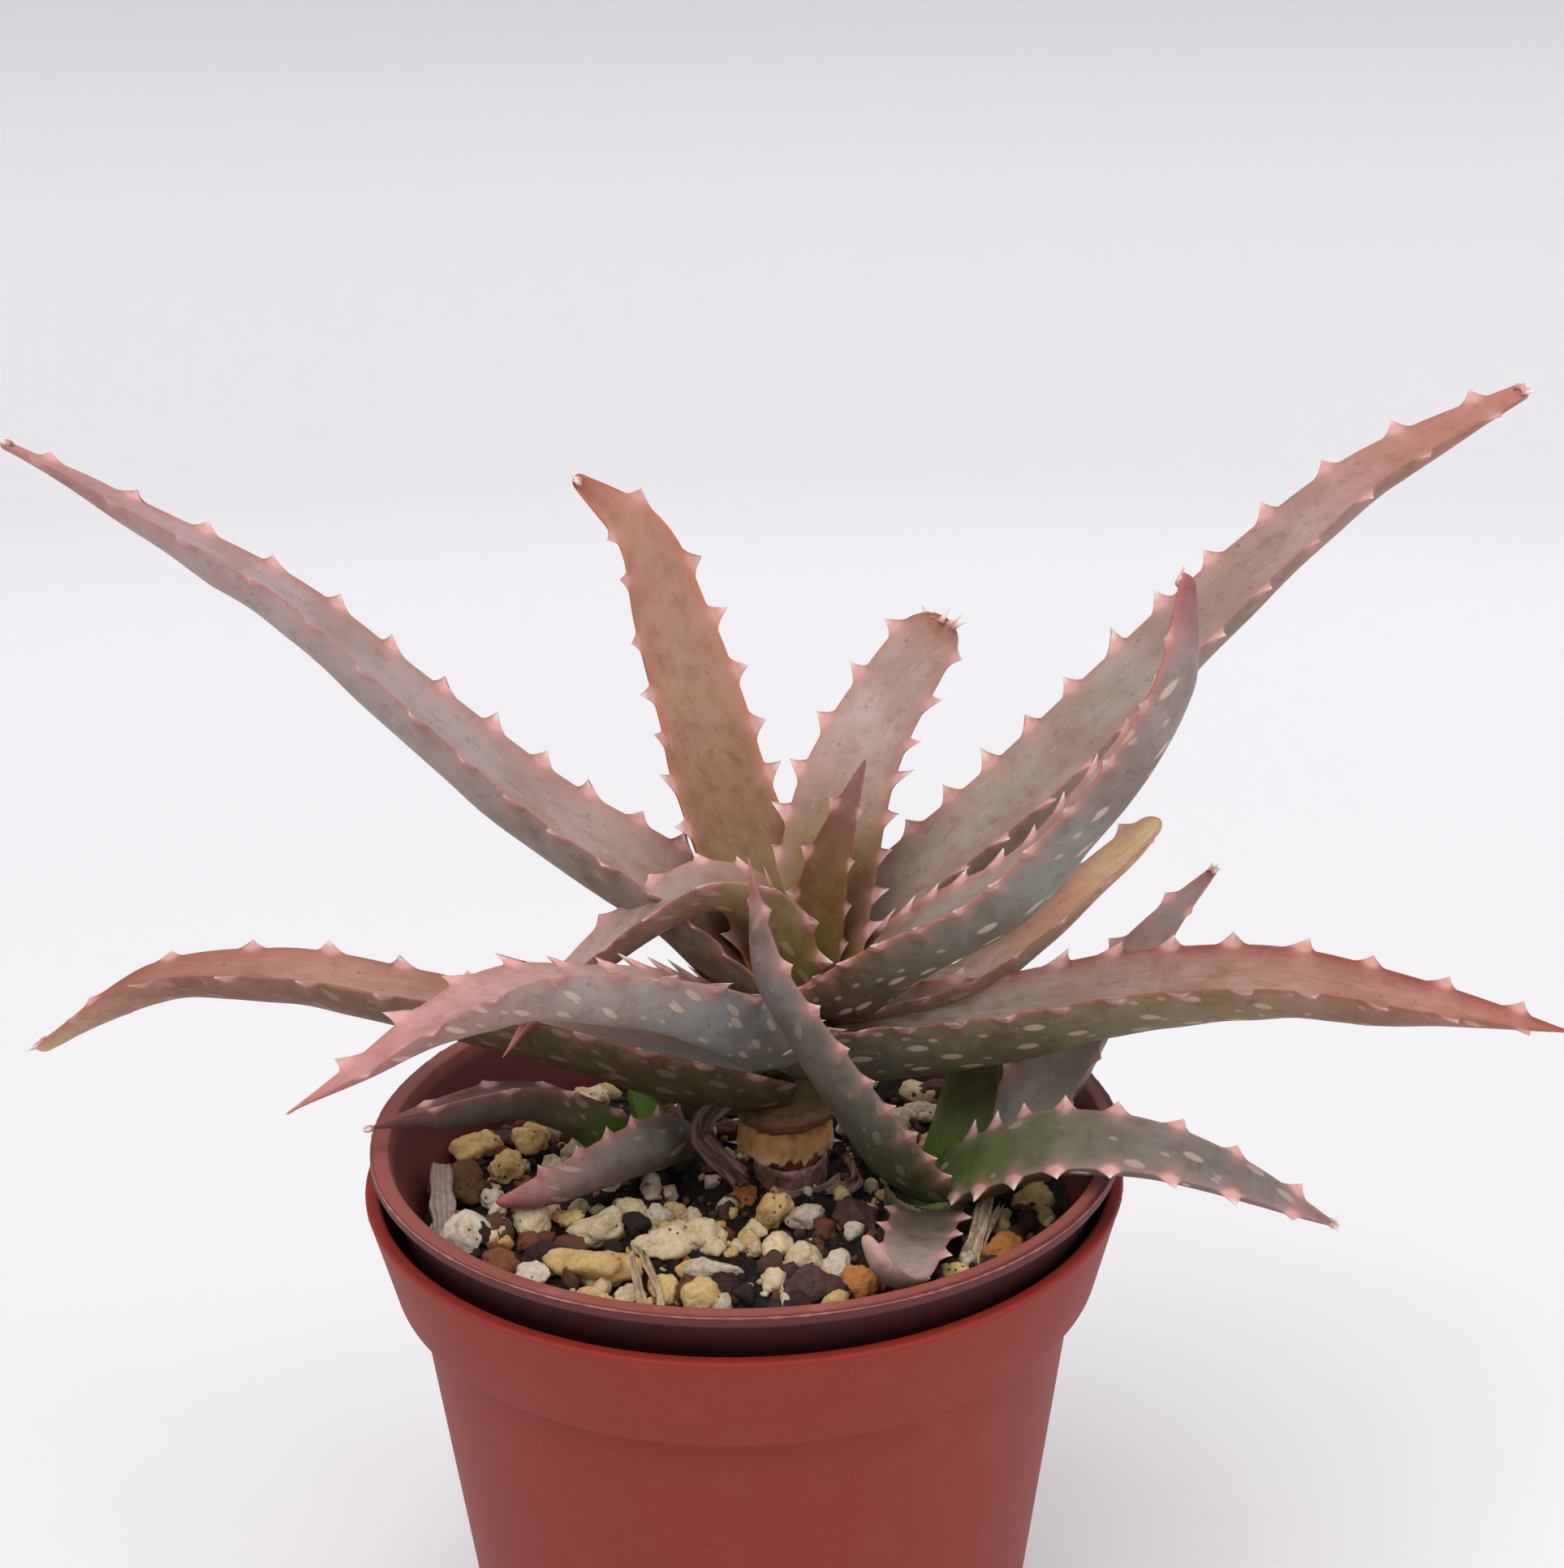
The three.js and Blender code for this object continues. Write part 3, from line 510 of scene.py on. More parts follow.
outer_profile = soften([
    (NEAR_AXIS, 0.0), (base_radius, 0.0), (body_top_radius, collar_foot),
    (collar_foot_radius, collar_foot + STEP_RISE),
    (RIM_RADIUS, POT_HEIGHT), (RIM_RADIUS - RIM_WIDTH, POT_HEIGHT),
    (collar_foot_radius - WALL, collar_foot + WALL), (body_top_radius - WALL, collar_foot - WALL),
    (base_radius - WALL, WALL), (NEAR_AXIS, WALL),
], OUTER_CORNER)
outer_place = np.zeros(3)
outer_pot = drill_floor(turned("outer_pot_shell", outer_profile, outer_place), outer_place)
print("outer pot", len(outer_pot.data.polygons), "faces")

# %% [markdown]
# The inner pot stands on the outer one's floor, so its collar rises above the outer rim and ends in a
# ledge. It is turned in the same way, from a profile of its own, and stands a little off the middle.

# %% Inner pot
INNER_SHIFT, LEDGE_RISE, LEDGE_LIP, LEDGE_WIDTH, GAP = 0.25, 4.9, 1.3, 2.1, 0.3
inner_base = WALL + GAP
inner_height = POT_HEIGHT + LEDGE_RISE - inner_base
INNER_COLLAR_FOOT = 68.5
inner_base_radius = base_radius - 2 * WALL
inner_body_top = inner_base_radius + BODY_TAPER * INNER_COLLAR_FOOT
inner_collar_top = RIM_RADIUS - RIM_WIDTH - GAP
inner_collar_foot = inner_collar_top - COLLAR_TAPER * (inner_height - INNER_COLLAR_FOOT)
ledge_radius = inner_collar_top + LEDGE_LIP
inner_place = np.array([INNER_SHIFT, 0.0, inner_base])

inner_profile = soften([
    (NEAR_AXIS, 0.0), (inner_base_radius, 0.0), (inner_body_top, INNER_COLLAR_FOOT),
    (inner_collar_foot, INNER_COLLAR_FOOT + STEP_RISE), (inner_collar_top, inner_height - WALL),
    (ledge_radius, inner_height - WALL), (ledge_radius, inner_height),
    (ledge_radius - LEDGE_WIDTH, inner_height), (inner_collar_foot - WALL, INNER_COLLAR_FOOT + WALL),
    (inner_body_top - WALL, INNER_COLLAR_FOOT - WALL), (inner_base_radius - WALL, WALL), (NEAR_AXIS, WALL),
], INNER_CORNER)
inner_pot = drill_floor(turned("inner_pot_shell", inner_profile, inner_place), inner_place)
print("inner pot top at", round(inner_base + inner_height, 2), "mm")

# %% [markdown]
# Where the mould's halves meet, a moulded rim keeps a burr of plastic. It is modelled as a fine bead on
# the edge: a small circle carried round the axis, thick here and thin there.


# %% Burrs on the rims
BEAD_COLS, BEAD_SIDES = 480, 6


def bead(name, radius, height, thickness, shift, seed):
    """A thin uneven ring: a small circle carried round Z, its thickness rising and falling with noise."""
    around, across = circle_angles(BEAD_COLS), circle_angles(BEAD_SIDES)
    ring = np.stack([np.cos(around), np.sin(around), 0 * around], axis=-1)
    uneven = 0.6 + 0.3 * ripple(ring, 0.4, seed) + 0.35 * ripple(ring, 0.03, seed + 1)
    size = thickness * uneven.clip(0.4, 1.4)[:, None]
    reach = radius + size * np.cos(across)
    grid = np.stack([reach * ring[:, :1], reach * ring[:, 1:2], height + size * np.sin(across)], axis=-1)
    return looped_grid(name, (grid + shift) * MM)


lip_burr = bead("lip_burr", ledge_radius - 0.1, inner_height - 0.1, 0.14, inner_place, 5)
rim_burr = bead("rim_burr", RIM_RADIUS - 0.14, POT_HEIGHT - 0.5, 0.09, outer_place, 8)
print("burrs", len(lip_burr.data.polygons) + len(rim_burr.data.polygons), "faces")

# %% [markdown]
# Matte plastic isn't one flat colour: it has faint flow marks from the mould, fine scuffs and a little
# dust. Both pots share these, so they sit in one node group, which each pot's material feeds with its own
# two colours. Only the colour, the roughness and the surface normal leave the group.

# %% Moulded plastic
plastic, given, made = group(
    "moulded_plastic",
    {"Place": "vector", "Body": "color", "Worn": "color", "Dust": "value"},
    {"Color": "color", "Roughness": "value", "Normal": "vector"})
flow = noise(plastic, given["Place"], 45.0, 3.0)
scuff = step(plastic, noise(plastic, stretch(plastic, given["Place"], (300, 300, 900)), 1.0, 4.0), 0.56, 0.8)
speck = noise(plastic, given["Place"], 1600.0, 2.0)
dusty = step(plastic, noise(plastic, given["Place"], 160.0, 5.0, 0.65), 0.5, 0.75)
dust = times(plastic, dusty, given["Dust"])
faded = times(plastic, step(plastic, flow, 0.35, 0.7), 0.55)
mixed = tint(plastic, "MIX", faded, given["Body"], given["Worn"])
mixed = tint(plastic, "MIX", times(plastic, scuff, 0.04), mixed, rgba((190, 120, 106)))
mixed = tint(plastic, "MIX", dust, mixed, rgba((196, 150, 140)))
mixed = tint(plastic, "MIX", times(plastic, step(plastic, speck, 0.35, 0.8), 0.12), mixed, rgba((95, 40, 34)))
plastic.links.new(mixed, made["Color"])
rough = calc(plastic, "MULTIPLY_ADD", flow, 0.15, calc(plastic, "MULTIPLY_ADD", dust, 0.2, 0.52))
plastic.links.new(rough, made["Roughness"])
grain = calc(plastic, "MULTIPLY_ADD", speck, 0.4, times(plastic, flow, 0.6))
plastic.links.new(bumped(plastic, 0.25, 0.0004, grain), made["Normal"])


def join_skin(tree, shader, skin):
    """Links a group's colour, roughness and normal to the material's shader."""
    for key, socket in (("Color", "Base Color"), ("Roughness", "Roughness"), ("Normal", "Normal")):
        tree.links.new(skin.outputs[key], shader.inputs[socket])


def pot_material(name, body, worn, dusty):
    """The shared plastic with a pot's two colours and its share of dust."""
    made, tree, shader = material(name)
    sockets = {"Place": object_place(tree), "Body": rgba(body), "Worn": rgba(worn), "Dust": dusty}
    skin = add(tree, "ShaderNodeGroup", sockets, node_tree=plastic)
    join_skin(tree, shader, skin)
    return made, tree, shader, skin.outputs["Color"]


print("moulded plastic nodes", len(plastic.nodes))

# %% [markdown]
# The outer pot is terracotta-coloured all through. Its topmost edge has been rubbed to a deeper red, so
# a smooth step on the height, over the last millimetre, mixes that red in.

# %% Outer pot's plastic
EDGE_LOW, EDGE_HIGH = 0.0768, 0.0778

terracotta, tree, shader, body = pot_material("terracotta_plastic", (133, 48, 36), (138, 52, 40), 0.03)
height = radius_and_height(tree)[1]
rubbed = tint(tree, "MIX", step(tree, height, EDGE_LOW, EDGE_HIGH), body, rgba((138, 43, 31)))
tree.links.new(rubbed, shader.inputs["Base Color"])
shader.inputs["Specular IOR Level"].default_value = 0.25
dress(outer_pot, terracotta, "outer_pot", "outer_pot")
dress(rim_burr, terracotta, "outer_pot")
print("terracotta is redder above", EDGE_LOW / MM, "mm")

# %% [markdown]
# The inner pot is maroon, and each of its faces shows another tone of it: a darker wall inside, painted shade
# on the wall outside in the gap between the pots, painted shade on the ledge's outer edge, and the plain,
# paler maroon with a little dust on top. The collar leans, so its radius less its taper times its height is
# the same all the way up. That number tells the inner wall from the outer one, and the height tells both from
# the ledge.

# %% Inner pot's plastic
LEDGE_LOW, LEDGE_HIGH = 0.0806, 0.0820

maroon, tree, shader, body = pot_material("maroon_plastic", (134, 64, 53), (148, 80, 68), 0.25)
radius, height = radius_and_height(tree)
upright = calc(tree, "MULTIPLY_ADD", height, -COLLAR_TAPER, radius)
lip = (ledge_radius - COLLAR_TAPER * (inner_base + inner_height)) * MM
outside = step(tree, upright, lip - 0.0019, lip - 0.0015)
outer_edge = step(tree, upright, lip - 0.0008, lip - 0.0002)
# Inside, a darker maroon. Outside, in the gap between the pots, the near-black is painted shade.
wall = tint(tree, "MIX", outside, rgba((92, 32, 27)), rgba((56, 14, 16)))
# The ledge's outer edge is darkened with painted shade.
ledge = tint(tree, "MIX", outer_edge, body, rgba((84, 24, 23)))
colour = tint(tree, "MIX", step(tree, height, LEDGE_LOW, LEDGE_HIGH), wall, ledge)
tree.links.new(colour, shader.inputs["Base Color"])
dress(inner_pot, maroon, "inner_pot", "inner_pot")
dress(lip_burr, pot_material("burr_plastic", (152, 86, 74), (196, 142, 128), 0.3)[0], "inner_pot")
print("ledge's colour starts at", LEDGE_LOW / MM, "mm")

# %% [markdown]
# Every leaf follows a spine, a smooth curve through a few points. A Catmull-Rom curve passes through its
# points and needs no handles. It is sampled finely and measured, so that a place on the leaf can be given
# in millimetres from its base.


# %% Spines
STEPS_A_KNOT = 60


def spine_curve(knots):
    """Between two knots the curve is the cubic whose slope at each knot is half the run between that
    knot's neighbours. Beyond each end the curve is mirrored. Gives points and their distance along."""
    p = np.asarray(knots, float)
    p = np.concatenate([[2 * p[0] - p[1]], p, [2 * p[-1] - p[-2]]])
    u = np.linspace(0, 1, STEPS_A_KNOT, endpoint=False)[None, :, None]
    a, b, c, d = (p[k:len(p) - 3 + k, None] for k in range(4))
    curve = ((2 * u ** 3 - 3 * u ** 2 + 1) * b + (u ** 3 - 2 * u ** 2 + u) * (c - a) / 2
             + (3 * u ** 2 - 2 * u ** 3) * c + (u ** 3 - u ** 2) * (d - b) / 2)
    curve = np.concatenate([curve.reshape(-1, 3), p[-2:-1]])
    run = np.concatenate([[0], np.cumsum(np.linalg.norm(np.diff(curve, axis=0), axis=1))])
    return curve, run


def carried(curve, run, at):
    """The points of the curve at the given distances, and the unit directions along it there."""
    slope = np.gradient(curve, run, axis=0)
    centre = np.column_stack([np.interp(at, run, curve[:, k]) for k in range(3)])
    along = np.column_stack([np.interp(at, run, slope[:, k]) for k in range(3)])
    return centre, unit(along)


print("a straight run of 10 mm measures", spine_curve([[0, 0, 0], [5, 0, 0], [10, 0, 0]])[1][-1].round(2))

# %% [markdown]
# Aloe teeth stand in a row on each margin, further apart towards the tip, and no two are alike. The same
# small random draw as in the solid gives their places and sizes, so each tooth stands where it does there.

# %% Teeth
FIRST_TOOTH, LAST_TOOTH, TOOTH_SPACING, SPACING_GAIN = 5.0, 3.0, 0.8, 0.8
FOOT_SHARE, FOOT_MOST, FORE_FOOT = 0.36, 2.1, 0.8
TOOTH_LEAN, TOOTH_LIFT, TIP_TOOTH, TOOTH_SCATTER = 0.3, 0.25, 0.45, 0.7


def tooth_rows(length, pitch, seed):
    """Rows of place, shift on each side and size on each side. The draw multiplies its last value, adds
    a constant and keeps the remainder of a division by two to the power of 32."""
    state = seed * 2654435761 % 2 ** 32
    rows, at = [], FIRST_TOOTH
    while at < length - LAST_TOOTH:
        draws = []
        for _ in range(4):
            state = (state * 1664525 + 1013904223) % 2 ** 32
            draws.append(state / 2 ** 32)
        rows.append((at, draws[0] - 0.5, draws[1] - 0.5, 0.8 + 0.4 * draws[2], 0.8 + 0.4 * draws[3]))
        at += pitch * (TOOTH_SPACING + SPACING_GAIN * at / length)
    return np.array(rows)


print("a leaf of 60 mm has", len(tooth_rows(60, 6, 1)), "teeth on each margin")

# %% [markdown]
# Cut across, such a leaf is nearly flat above, with a shallow channel, and rounded below. The section's
# points stand closer together near the two margins, because the teeth will be drawn out of them there.

# %% Leaf section
UPPER_STOPS = np.array([0.14, 0.28, 0.44, 0.64, 0.9, 1.2])
UNDER_STOPS = np.array([0.09, 0.2, 0.34, 0.52, 0.76, 1.02, 1.3])
CHANNEL_POWER, KEEL_POWER, KEEL_ROUND = 5, 2.6, 0.66


def leaf_section(channel):
    """Anticlockwise from the left margin: across is the cosine of an angle from the margin. The channel's
    depth is one less that cosine to the power of 5. The keel's depth is one less the cosine to the power of
    2.6, all to the power of 0.66, so that it is full and round."""
    upper = np.concatenate([UPPER_STOPS, [np.pi / 2], np.pi - UPPER_STOPS[::-1]])
    under = np.concatenate([UNDER_STOPS, [np.pi / 2], np.pi - UNDER_STOPS[::-1]])
    s = np.concatenate([[-1.0], -np.cos(upper), [1.0], np.cos(under)])
    top = -channel * (1 - np.abs(np.cos(upper)) ** CHANNEL_POWER)
    keel = -(1 - np.abs(np.cos(under)) ** KEEL_POWER) ** KEEL_ROUND
    n = np.concatenate([[0.0], top, [0.0], keel])
    return s, n, len(upper) + 1


print("a leaf's section has", len(leaf_section(0.2)[0]), "points")

# %% [markdown]
# The section is carried along the spine as a row of rings. They stand closer together where the leaf has a
# tooth or ends in a round tip. At each ring the leaf has a direction across and one up from its face, and
# a roll turns both about the spine, because these leaves twist as they grow.

# %% Rings along a leaf
RING_STEP, LEAST_STEP, CAP_RINGS = 0.9, 0.03, 7
FLANK_STOPS = np.array([1, 0.8, 0.6, 0.42, 0.27, 0.15, 0.06, 0])


def ring_places(length, teeth, foot, cap):
    """Distances from the base: even steps, the sines of even angles over the tip's cap, and eight places on
    each flank of every tooth. Places that nearly meet are made one."""
    near = np.concatenate([-foot * FLANK_STOPS, FORE_FOOT * foot * FLANK_STOPS[::-1]])
    rounded = length - cap * (1 - np.sin(np.linspace(0, np.pi / 2, CAP_RINGS)))
    at = np.sort(np.concatenate([np.arange(0, length, RING_STEP), rounded, (teeth[:, :1] + near).ravel()]))
    at = at[(at >= 0) & (at <= length)]
    return at[np.append(True, np.diff(at) > LEAST_STEP)]


def leaf_axes(curve, run, at, roll):
    """The spine's points at the places, and the directions along, across and up there. Across starts level
    and square to the spine. It becomes itself times the roll's cosine, plus its quarter turn about the
    spine times the roll's sine."""
    centre, along = carried(curve, run, at)
    heading = unit((curve[-1] - curve[0]) * [1, 1, 0])
    sideways = np.array([heading[1], -heading[0], 0])
    across = unit(sideways - (along @ sideways)[:, None] * along)
    turn = -np.radians(np.interp(at / run[-1], np.linspace(0, 1, len(roll)), roll))[:, None]
    across = across * np.cos(turn) + np.cross(along, across) * np.sin(turn)
    return centre, along, across, np.cross(across, along)


print("a leaf of 60 mm without teeth has", len(ring_places(60, np.zeros((0, 5)), 1, 1)), "rings")

# %% [markdown]
# The teeth are drawn out of the margins of the same surface, with slightly hollow flanks, because on a real
# leaf the skin runs up into them without a seam. Each one lifts a little, leans towards the leaf's tip and
# reddens the skin round its foot.

# %% Teeth drawn from a margin
FLANK_BEND, TOOTH_HOLD, BLUSH_ALONG, BLUSH_ROUND = 1.6, 0.55, 1.3, 1.5


def margin_teeth(teeth, side, at, away, foot, tooth, narrow):
    """How far one margin's teeth move each point out and along, and how red it is. A tooth's profile is one
    less the distance from it in feet, to the power of 1.6. All of it fades with the distance away from the
    margin, round the section, as a bell curve."""
    q = np.where(at[:, None] < teeth[:, 0], (teeth[:, 0] - at[:, None]) / foot,
                 (at[:, None] - teeth[:, 0]) / foot / FORE_FOOT)
    rise = (1 - q.clip(0, 1)) ** FLANK_BEND
    size = teeth[:, 3 + side] * tooth * (TIP_TOOTH + (1 - TIP_TOOTH) * narrow[:, None])
    hold = np.exp(-(away / TOOTH_HOLD) ** 2)
    out = (rise * size).sum(axis=1)[:, None] * hold
    push = rise * (TOOTH_LEAN * size + teeth[:, 1 + side] * foot * TOOTH_SCATTER)
    lean = push.sum(axis=1)[:, None] * hold
    spread = np.exp(-((at[:, None] - teeth[:, 0]) / BLUSH_ALONG) ** 2).sum(axis=1)[:, None]
    return out, lean, spread * np.exp(-(away / BLUSH_ROUND) ** 2)


print("halfway down its flank a tooth keeps", round(0.5 ** FLANK_BEND, 2), "of its height")

# %% [markdown]
# Now a whole blade. The section narrows towards the tip and, on some leaves, towards a neck at the base.
# Slow noise swells its underside. Each point also keeps what the skin has to know: how close it is to the
# margin, how far out on a tooth, how red, and whether it is on the underside.

# %% Blade
NECK_END, LEAST_WIDTH, THINNING, BASE_THICKNESS, BASE_RUN = 0.3, 0.03, 0.6, 0.6, 20.0
TIP_CAP, CAP_SHARE, SWELL, SWELL_LENGTH = 0.8, 0.4, 0.12, 11.0
MARGIN_REACH, EDGE_REACH, MARGIN_UNDER, UV_SCALE = 0.8, 2.6, 0.4, 100


def blade(leaf, channel=0.2):
    """A point is the spine's point, plus across times the section's across times half the width, plus up
    times the section's up times the depth. Half the width falls as one less the share of the length to the
    power of the taper. Over the cap at the tip both shrink as a quarter circle."""
    _, seed, width, thickness, taper, blunt, roll, tooth, pitch, neck, knots = leaf
    curve, run = spine_curve(knots)
    length = run[-1]
    foot = min(FOOT_MOST, FOOT_SHARE * pitch)
    teeth = tooth_rows(length, pitch, seed) if tooth else np.zeros((0, 5))
    cap = max(TIP_CAP, CAP_SHARE * blunt * width)
    at = ring_places(length, teeth, foot, cap)
    centre, along, across, up = leaf_axes(curve, run, at, roll)

    t = at / length
    share = blunt + (1 - blunt) * np.maximum(1 - t ** taper, LEAST_WIDTH)
    narrow = share * np.minimum(1, neck + (1 - neck) * t / NECK_END)
    end = np.sqrt(1 - np.clip((at - length + cap) / cap, 0, 1) ** 2).clip(LEAST_WIDTH, 1)
    fill = np.minimum(1, BASE_THICKNESS + at / BASE_RUN) * np.minimum(1, narrow * 2)
    half = (width / 2 * narrow * end)[:, None]
    deep = (thickness * (1 - THINNING * t) * fill * end)[:, None]

    s, n, far = leaf_section(channel)
    x, y = s * half, n * deep
    swell = SWELL * ripple(np.dstack([x, y, at[:, None] + 0 * x]), SWELL_LENGTH, seed)
    y = y - np.where(n < 0, swell, 0) * end[:, None]
    lap = np.hypot(np.diff(x, axis=1, append=x[:, :1]), np.diff(y, axis=1, append=y[:, :1]))
    round_it = np.concatenate([np.zeros((len(at), 1)), np.cumsum(lap, axis=1)], axis=1)
    from_left = np.minimum(round_it[:, :-1], round_it[:, -1:] - round_it[:, :-1])
    from_right = np.abs(round_it[:, :-1] - round_it[:, far:far + 1])

    left, left_lean, left_red = margin_teeth(teeth, 0, at, from_left, foot, tooth, narrow)
    right, right_lean, right_red = margin_teeth(teeth, 1, at, from_right, foot, tooth, narrow)
    out, lift, lean = right - left, TOOTH_LIFT * (left + right), left_lean + right_lean
    grid = (centre[:, None] + across[:, None] * (x + out)[..., None] + up[:, None] * (y + lift)[..., None]
            + along[:, None] * lean[..., None])
    away = np.minimum(from_left, from_right)
    under = np.where(np.arange(len(s)) > far, 1.0, 0.0)
    under[[0, far]] = MARGIN_UNDER
    values = {
        "margin": np.exp(-(away / MARGIN_REACH) ** 2),
        "edge": np.exp(-(away / EDGE_REACH) ** 2),
        "tooth": (np.abs(out) / max(tooth, 0.1)).clip(0, 1),
        "blush": (left_red + right_red).clip(0, 1),
        "under": np.broadcast_to(under, x.shape),
        "t": np.broadcast_to(t[:, None], x.shape),
    }
    uv = np.dstack([np.broadcast_to(at[:, None], round_it.shape), round_it]) / UV_SCALE
    return grid * MM, values, uv


print("at half its length a leaf of taper 2 keeps", 1 - 0.5 ** 2, "of its width")

# %% [markdown]
# The skin of these leaves is the plant's charm: grey, mauve and rust run into each other, with silvery
# scratches and flecks, dark pits, pale raised spots in rows on the underside, a coral line along the
# margin with a wide reddish band above it on some leaves, and pink teeth. The broad colour is stored on
# the points. The small marks come from procedural textures in one node group. The spots use the leaf's
# own along-and-round coordinates, so that they lie in rows.

# %% Leaf skin
skin_tree, given, made = group(
    "leaf_skin",
    {"Place": "vector", "Along": "vector", "Tint": "color", "Margin": "value", "Edge": "value",
     "Tooth": "value", "Blush": "value", "Under": "value", "Spots": "value", "Scratches": "value",
     "Coral": "value", "Pits": "value", "Streaks": "value", "Band": "value", "Rim": "color"},
    {"Color": "color", "Roughness": "value", "Normal": "vector"})
broad = noise(skin_tree, given["Place"], 90.0, 4.0, 0.6)
cloud = noise(skin_tree, given["Place"], 420.0, 5.0, 0.7)
fine = noise(skin_tree, given["Place"], 2600.0, 2.0)
fibre = noise(skin_tree, stretch(skin_tree, given["Along"], (7.0, 150.0, 1.0)), 1.0, 3.0)
scrape = noise(skin_tree, stretch(skin_tree, given["Along"], (40.0, 110.0, 1.0)), 1.0, 5.0, 0.75)

base = tint(skin_tree, "MULTIPLY", times(skin_tree, step(skin_tree, broad, 0.6, 0.35), 0.8), given["Tint"],
            rgba((226, 210, 198)))
base = tint(skin_tree, "SCREEN", times(skin_tree, step(skin_tree, cloud, 0.48, 0.72), 0.5), base,
            rgba((62, 60, 62)))
base = tint(skin_tree, "MULTIPLY", times(skin_tree, step(skin_tree, cloud, 0.5, 0.34), 0.45), base,
            rgba((206, 190, 176)))
streak = times(skin_tree, step(skin_tree, fibre, 0.4, 0.7), given["Streaks"])
base = tint(skin_tree, "MULTIPLY", times(skin_tree, streak, 0.7), base, rgba((206, 196, 186)))
base = tint(skin_tree, "MULTIPLY", times(skin_tree, step(skin_tree, fine, 0.4, 0.7), 0.14), base,
            rgba((186, 178, 170)))

flecks = times(skin_tree, cells(skin_tree, given["Place"], 900.0, 0.1, 0.17, 0.12), 0.9)
marks = calc(skin_tree, "MAXIMUM", step(skin_tree, scrape, 0.6, 0.7), flecks)
base = tint(skin_tree, "MIX", times(skin_tree, marks, given["Scratches"], 0.6), base, rgba((210, 194, 188)))
oval = stretch(skin_tree, given["Along"], (15.0, 38.0, 1.0))
oval = cells(skin_tree, oval, 1.0, 0.13, 0.22, 0.5, flat=True)
small = stretch(skin_tree, given["Along"], (34.0, 64.0, 1.0))
small = cells(skin_tree, small, 1.0, 0.12, 0.24, 0.16, flat=True)
below = calc(skin_tree, "MULTIPLY_ADD", given["Under"], 0.75, 0.25)
spots = calc(skin_tree, "MAXIMUM", oval, times(skin_tree, small, 0.7))
spots = times(skin_tree, spots, given["Spots"], below)
base = tint(skin_tree, "MIX", times(skin_tree, spots, 0.62), base, rgba((216, 188, 170)))
pits = times(skin_tree, cells(skin_tree, given["Place"], 560.0, 0.1, 0.2, 0.1), given["Pits"])
base = tint(skin_tree, "MIX", times(skin_tree, pits, 0.8), base, rgba((84, 58, 46)))

patches = step(skin_tree, noise(skin_tree, given["Place"], 210.0, 4.0, 0.65), 0.5, 0.66)
blotch = times(skin_tree, patches, given["Edge"], given["Coral"], 0.3)
base = tint(skin_tree, "MIX", blotch, base, rgba((174, 112, 102)))
glow = times(skin_tree, given["Blush"], calc(skin_tree, "MULTIPLY_ADD", patches, 0.3, given["Coral"]), 0.58)
base = tint(skin_tree, "MIX", glow, base, rgba((190, 138, 130)))
above = calc(skin_tree, "SUBTRACT", 1.0, given["Under"])
band = times(skin_tree, calc(skin_tree, "POWER", given["Edge"], 1.4), above, given["Band"])
base = tint(skin_tree, "MIX", band, base, given["Rim"])
line = times(skin_tree, calc(skin_tree, "POWER", given["Margin"], 2.2), 0.5)
base = tint(skin_tree, "MIX", line, base, given["Rim"])
point = step(skin_tree, given["Tooth"], 0.4, 0.9)
tooth_pink = tint(skin_tree, "MIX", point, rgba((202, 150, 142)), rgba((226, 202, 192)))
base = tint(skin_tree, "MIX", step(skin_tree, given["Tooth"], 0.04, 0.3), base, tooth_pink)
skin_tree.links.new(base, made["Color"])

skin_tree.links.new(calc(skin_tree, "MULTIPLY_ADD", cloud, 0.3, 0.42), made["Roughness"])
relief = calc(skin_tree, "MULTIPLY_ADD", fine, 0.15, times(skin_tree, streak, -0.25))
for mask, height in ((cloud, 0.4), (spots, 0.8), (pits, -0.5)):
    relief = calc(skin_tree, "MULTIPLY_ADD", mask, height, relief)
skin_tree.links.new(bumped(skin_tree, 0.4, 0.0005, relief), made["Normal"])
print("leaf skin nodes", len(skin_tree.nodes))

# %% [markdown]
# Every leaf shares that skin, and each sets its own amounts of spots, scratches and the rest. A leaf's
# two faces take their colours from two short lists of stops along it, which numpy blends on the points.


# %% Leaves
def blended(place, stops):
    """Colours at an array of places, blended between stops that are pairs of a place and a screen colour."""
    at, colour = [stop[0] for stop in stops], linear([stop[1] for stop in stops])
    return np.dstack([np.interp(place, at, colour[:, k]) for k in range(3)])


def leaf_material(name, spots=0.4, scratches=0.3, coral=0.5, pits=0.5, streaks=0.15, band=0.12,
                  rim=(170, 116, 104)):
    """One leaf's material: the shared skin, fed by the leaf's stored values and its own amounts."""
    made, tree, shader = material(name)
    sockets = {"Place": object_place(tree), "Along": add(tree, "ShaderNodeUVMap", uv_map="along").outputs[0],
               "Tint": stored(tree, "tint", "Color"), "Spots": spots, "Scratches": scratches, "Coral": coral,
               "Pits": pits, "Streaks": streaks, "Band": band, "Rim": rgba(rim)}
    for key in ("Margin", "Edge", "Tooth", "Blush", "Under"):
        sockets[key] = stored(tree, key.lower())
    skin = add(tree, "ShaderNodeGroup", sockets, node_tree=skin_tree)
    join_skin(tree, shader, skin)
    shader.inputs["Subsurface Weight"].default_value = 0.08
    shader.inputs["Subsurface Scale"].default_value = 0.0015
    shader.inputs["Specular IOR Level"].default_value = 0.4
    return made


